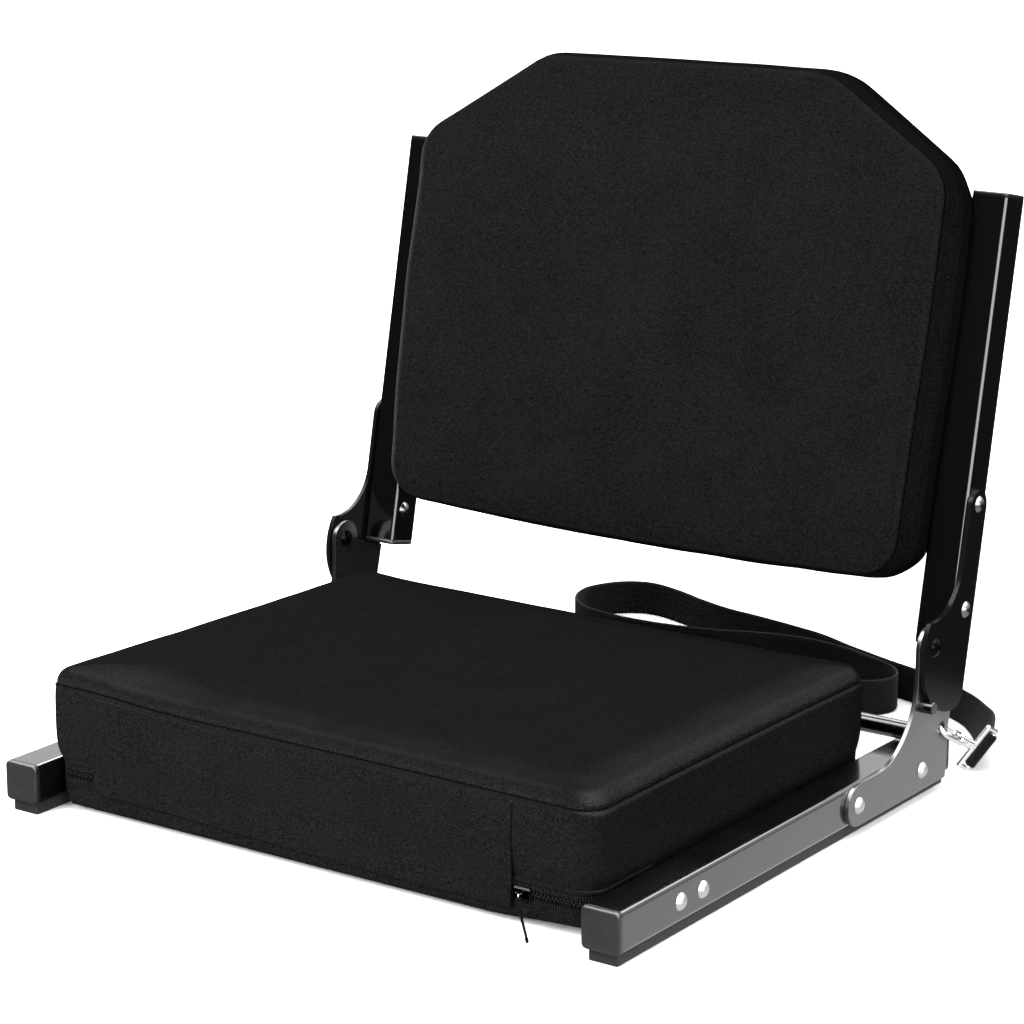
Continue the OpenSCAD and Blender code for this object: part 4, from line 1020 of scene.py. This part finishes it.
for x in (LUG_X - 1.7, LUG_X + 1.7):
    verts = [Vector((side, y, z)) for side in (x - 0.5, x + 0.5) for y, z in lug]
    slider_parts.append((verts, closed_rows(2, len(lug))))
verts, faces = gather(slider_parts)
slider = new_mesh("zip_slider_body", [at(*q) for q in verts], faces, NICKEL, sharp=30)
place_piece(slider, "zip_slider", "slider_metal", "zip_slider")


def cord_mesh(centres, radii, lay=0.0):
    """A thin cord along centres, in mm. With a lay, its section is lobed and turns along its length."""
    sides, lobes, twist = 12, 3, 2.2
    verts = []
    run = 0.0
    for c, before, way, radius in zip(centres, [centres[0], *centres], tangents(centres), radii):
        across = (X - way * X.dot(way)).normalized()
        normal = way.cross(across)
        run += (c - before).length
        for k in range(sides):
            th = 2 * math.pi * k / sides
            size = radius * (1 + lay * math.cos(lobes * th + run * twist))
            verts.append(c + (across * math.cos(th) + normal * math.sin(th)) * size)
    return verts, closed_rows(len(centres), sides)


EYE = Vector((LUG_X, LUG_Y, ZIP_Z))
ROUND, TUBE_SIDES = 20, 8
verts = []
for i in range(ROUND):
    a = 2 * math.pi * i / ROUND
    for k in range(TUBE_SIDES):
        th = 2 * math.pi * k / TUBE_SIDES
        size = 1.35 + 0.45 * math.cos(th)
        spot = Vector((0.55 * math.sin(th), size * math.cos(a) - 0.4, size * math.sin(a) - 0.8))
        verts.append(at(*(EYE + spot)))
faces = [[v % len(verts) for v in f] for f in walls(ROUND + 1, TUBE_SIDES)]
ring = new_mesh("zip_pull_ring", verts, faces, CHROME)
CORD_R = 0.78
HANG = [(0, 0.2, -0.2), (0, -1.4, -1.9), (0.6, -3.1, -4.3), (5.5, -6.6, -9.6), (10.6, -10.4, -15.2),
        (15, -14, -20.3)]
pull_line = catmull([EYE + Vector(q) for q in HANG], 8)
end, way = pull_line[-1], (pull_line[-1] - pull_line[-2]).normalized()
knot = cord_mesh([end + way * q for q in (-3.2, -2.7, -1.8, -0.9, -0.2, 0.0)],
                 (0.8, 0.98, 1.06, 1.02, 0.85, 0.5))
verts, faces = gather([cord_mesh(pull_line, [CORD_R] * len(pull_line), 0.1), knot])
pull = new_mesh("zip_pull_cord", [at(*q) for q in verts], faces, BRAID)
place_piece(ring, "zip_pull", "slider_metal")
place_piece(pull, "zip_pull", "pull_cord", "zip_pull")


# Webbing loops that hold the back cushion on its rails
LOOP_P, LOOP_R = 32.75, RAIL_R + FIT + LOOP_HALF_T
RAIL_P = BACK_REAR + 2 * LOOP_HALF_T + FIT + RAIL_R
half = 15.0
section = [(half, 0.15), (half - 0.5, 0.62), (half - 2, 0.7), (0, 0.66), (-half + 2, 0.7),
           (-half + 0.5, 0.62), (-half, 0.15)]
section = section + [(a, -c) for a, c in reversed(section)]
path = [(LOOP_P, 18 - k) for k in range(0, 12, 2)]
for a in range(150, -151, -10):
    path.append((RAIL_P + LOOP_R * math.cos(math.radians(a)), LOOP_R * math.sin(math.radians(a))))
path += [(LOOP_P, -q) for q in range(8, 19, 2)]
for i, (x, s) in enumerate([(x, s) for x in (-110, 110) for s in (60, 250)]):
    centres = [q + Vector((x, 0, s)) for q in catmull([(0, p, up) for p, up in path], 2)]
    axes = [(X, way.cross(X)) for way in tangents(centres)]
    place_piece(swept(f"back_loop_{i}", centres, axes, section, on_back), "back", "webbing", "back_loops")


# Frame pieces that stay as they are in the model, with their finishes
dress(["base_tube_right", "base_tube_left"], COATED_TUBE, 0.0, 40)
dress(["upright_right", "upright_left"], GLOSS, 0.0, 40)
dress(["crossbar", "back_rail_lower", "back_rail_upper"], GLOSS, 0.0, 40)
# Lit and shaded copies of the plates' one paint.
dress(["lower_bracket_right", "lower_bracket_left"], LOWER_PLATE_LIT_COAT, 0.4)
dress(["upper_bracket_right", "upper_bracket_left"], UPPER_PLATE_SHADED_COAT, 0.4)
dress(["front_cross_strap", "rear_cross_strap"], GLOSS, 0.3)
dress(["stop_pegs"], GLOSS, 0.5)
dress(["pivot_rivets"], BLACK_PIN, 0.0)
dress(["pivot_washers"], NYLON, 0.15)
dress(["floor_strips"], RUBBER, 0.8, 30, 3)
dress(["front_strap_rivets", "bracket_rivets"], RIVET, 0.0)
dress(["upright_rivets"], UPPER_RIVET, 0.0)
dress(["hook_right", "hook_left", "strap_ring_right", "strap_ring_left"], CHROME, 0.0, 35)
dress(["hook_gate_right", "hook_gate_left"], CHROME, 0.0, 35)
dress(["gate_pins"], RIVET, 0.0, 35)
dress(["seat_board", "back_board"], BOARD, 0.3)
dress(["seat_grip_pads"], GRIP, 0.2)


# Floor, backdrop and light
def glow_by_distance(net, spot, near, far, low, high):
    """A white glow that changes with the distance from a place on the floor."""
    place = net.node("NewGeometry").outputs["Position"]
    away = net.node("VectorMath", place, spot, operation="DISTANCE").outputs["Value"]
    strength = net.spread(away, near, far, low, high)
    return net.node("Emission", Color=(1, 1, 1, 1), Strength=strength).outputs[0]


def by_ray(net, kind, others, those):
    """One shader for a kind of ray, and another one for all the others."""
    return net.node("MixShader", net.node("LightPath").outputs[kind], others, those).outputs[0]


def white_floor():
    """Plain white to the view, a light grey to the light, and to mirrors a small glow near the front."""
    s = Surface("floor white")
    s.tree.nodes.clear()
    lit = s.node("BsdfDiffuse", Color=(0.8, 0.8, 0.8, 1)).outputs[0]
    bright = s.node("BsdfDiffuse", Color=(4.6, 4.6, 4.6, 1)).outputs[0]
    seen = s.node("AddShader", bright, glow_by_distance(s, (0, 0, 0), 0.7, 1.5, 0.02, 1.0)).outputs[0]
    mirrored = glow_by_distance(s, (0.33, 0.03, 0), 0.24, 0.33, 0.95, 0.03)
    unmirrored = by_ray(s, "Is Camera Ray", lit, seen)
    s.node("OutputMaterial", Surface=by_ray(s, "Is Glossy Ray", unmirrored, mirrored))
    return s.material


def background(net, strength):
    return net.node("Background", Color=(1, 1, 1, 1), Strength=strength).outputs[0]


floor_corners = [(-6, -6, 0), (6, -6, 0), (6, 6, 0), (-6, 6, 0)]
floor = new_mesh("floor", floor_corners, [(0, 1, 2, 3)], white_floor(), smooth=False)

world = bpy.data.worlds.new("studio")
bpy.context.scene.world = world
world.use_nodes = True
sky = Net(world.node_tree)
sky.tree.nodes.clear()
way = sky.node("TexCoord").outputs["Generated"]
_, depth, height = sky.parts(way)
backdrop = sky.times(sky.spread(height, 0.0, 0.14, 0, 1), sky.spread(depth, -0.1, 0.2, 0, 1))
panel = sky.along(way, (0.80, -0.58, 0.10))
flash = sky.spread(panel, math.cos(math.radians(36)), math.cos(math.radians(24)), 0, 9)
ceiling = sky.spread(height, 0.5, 0.72, 0, 10)
mirrored = background(sky, sky.plus(sky.plus(sky.plus(backdrop, flash), ceiling), 0.03))
unseen = by_ray(sky, "Is Glossy Ray", background(sky, 0.26), mirrored)
sky.node("OutputWorld", Surface=by_ray(sky, "Is Camera Ray", unseen, background(sky, 1.0)))


def softbox(name, spot, aim, width, height, power):
    data = bpy.data.lights.new(name, "AREA")
    set_up(data, shape="RECTANGLE", size=width, size_y=height, energy=power)
    turn = (Vector(aim) - Vector(spot)).to_track_quat("-Z", "Y").to_euler()
    set_up(add(name, data), location=spot, rotation_euler=turn, visible_glossy=False)


softbox("overhead", (0.0, 0.1, 2.3), (0, 0, 0), 2.2, 2.2, 10.5)
softbox("key", (-0.9, -2.2, 1.3), (0, 0, 0.15), 1.6, 1.2, 34)
softbox("right", (1.9, -1.0, 1.2), (0, 0, 0.15), 1.0, 1.2, 3.5)
bpy.context.scene.view_settings.view_transform = "Standard"
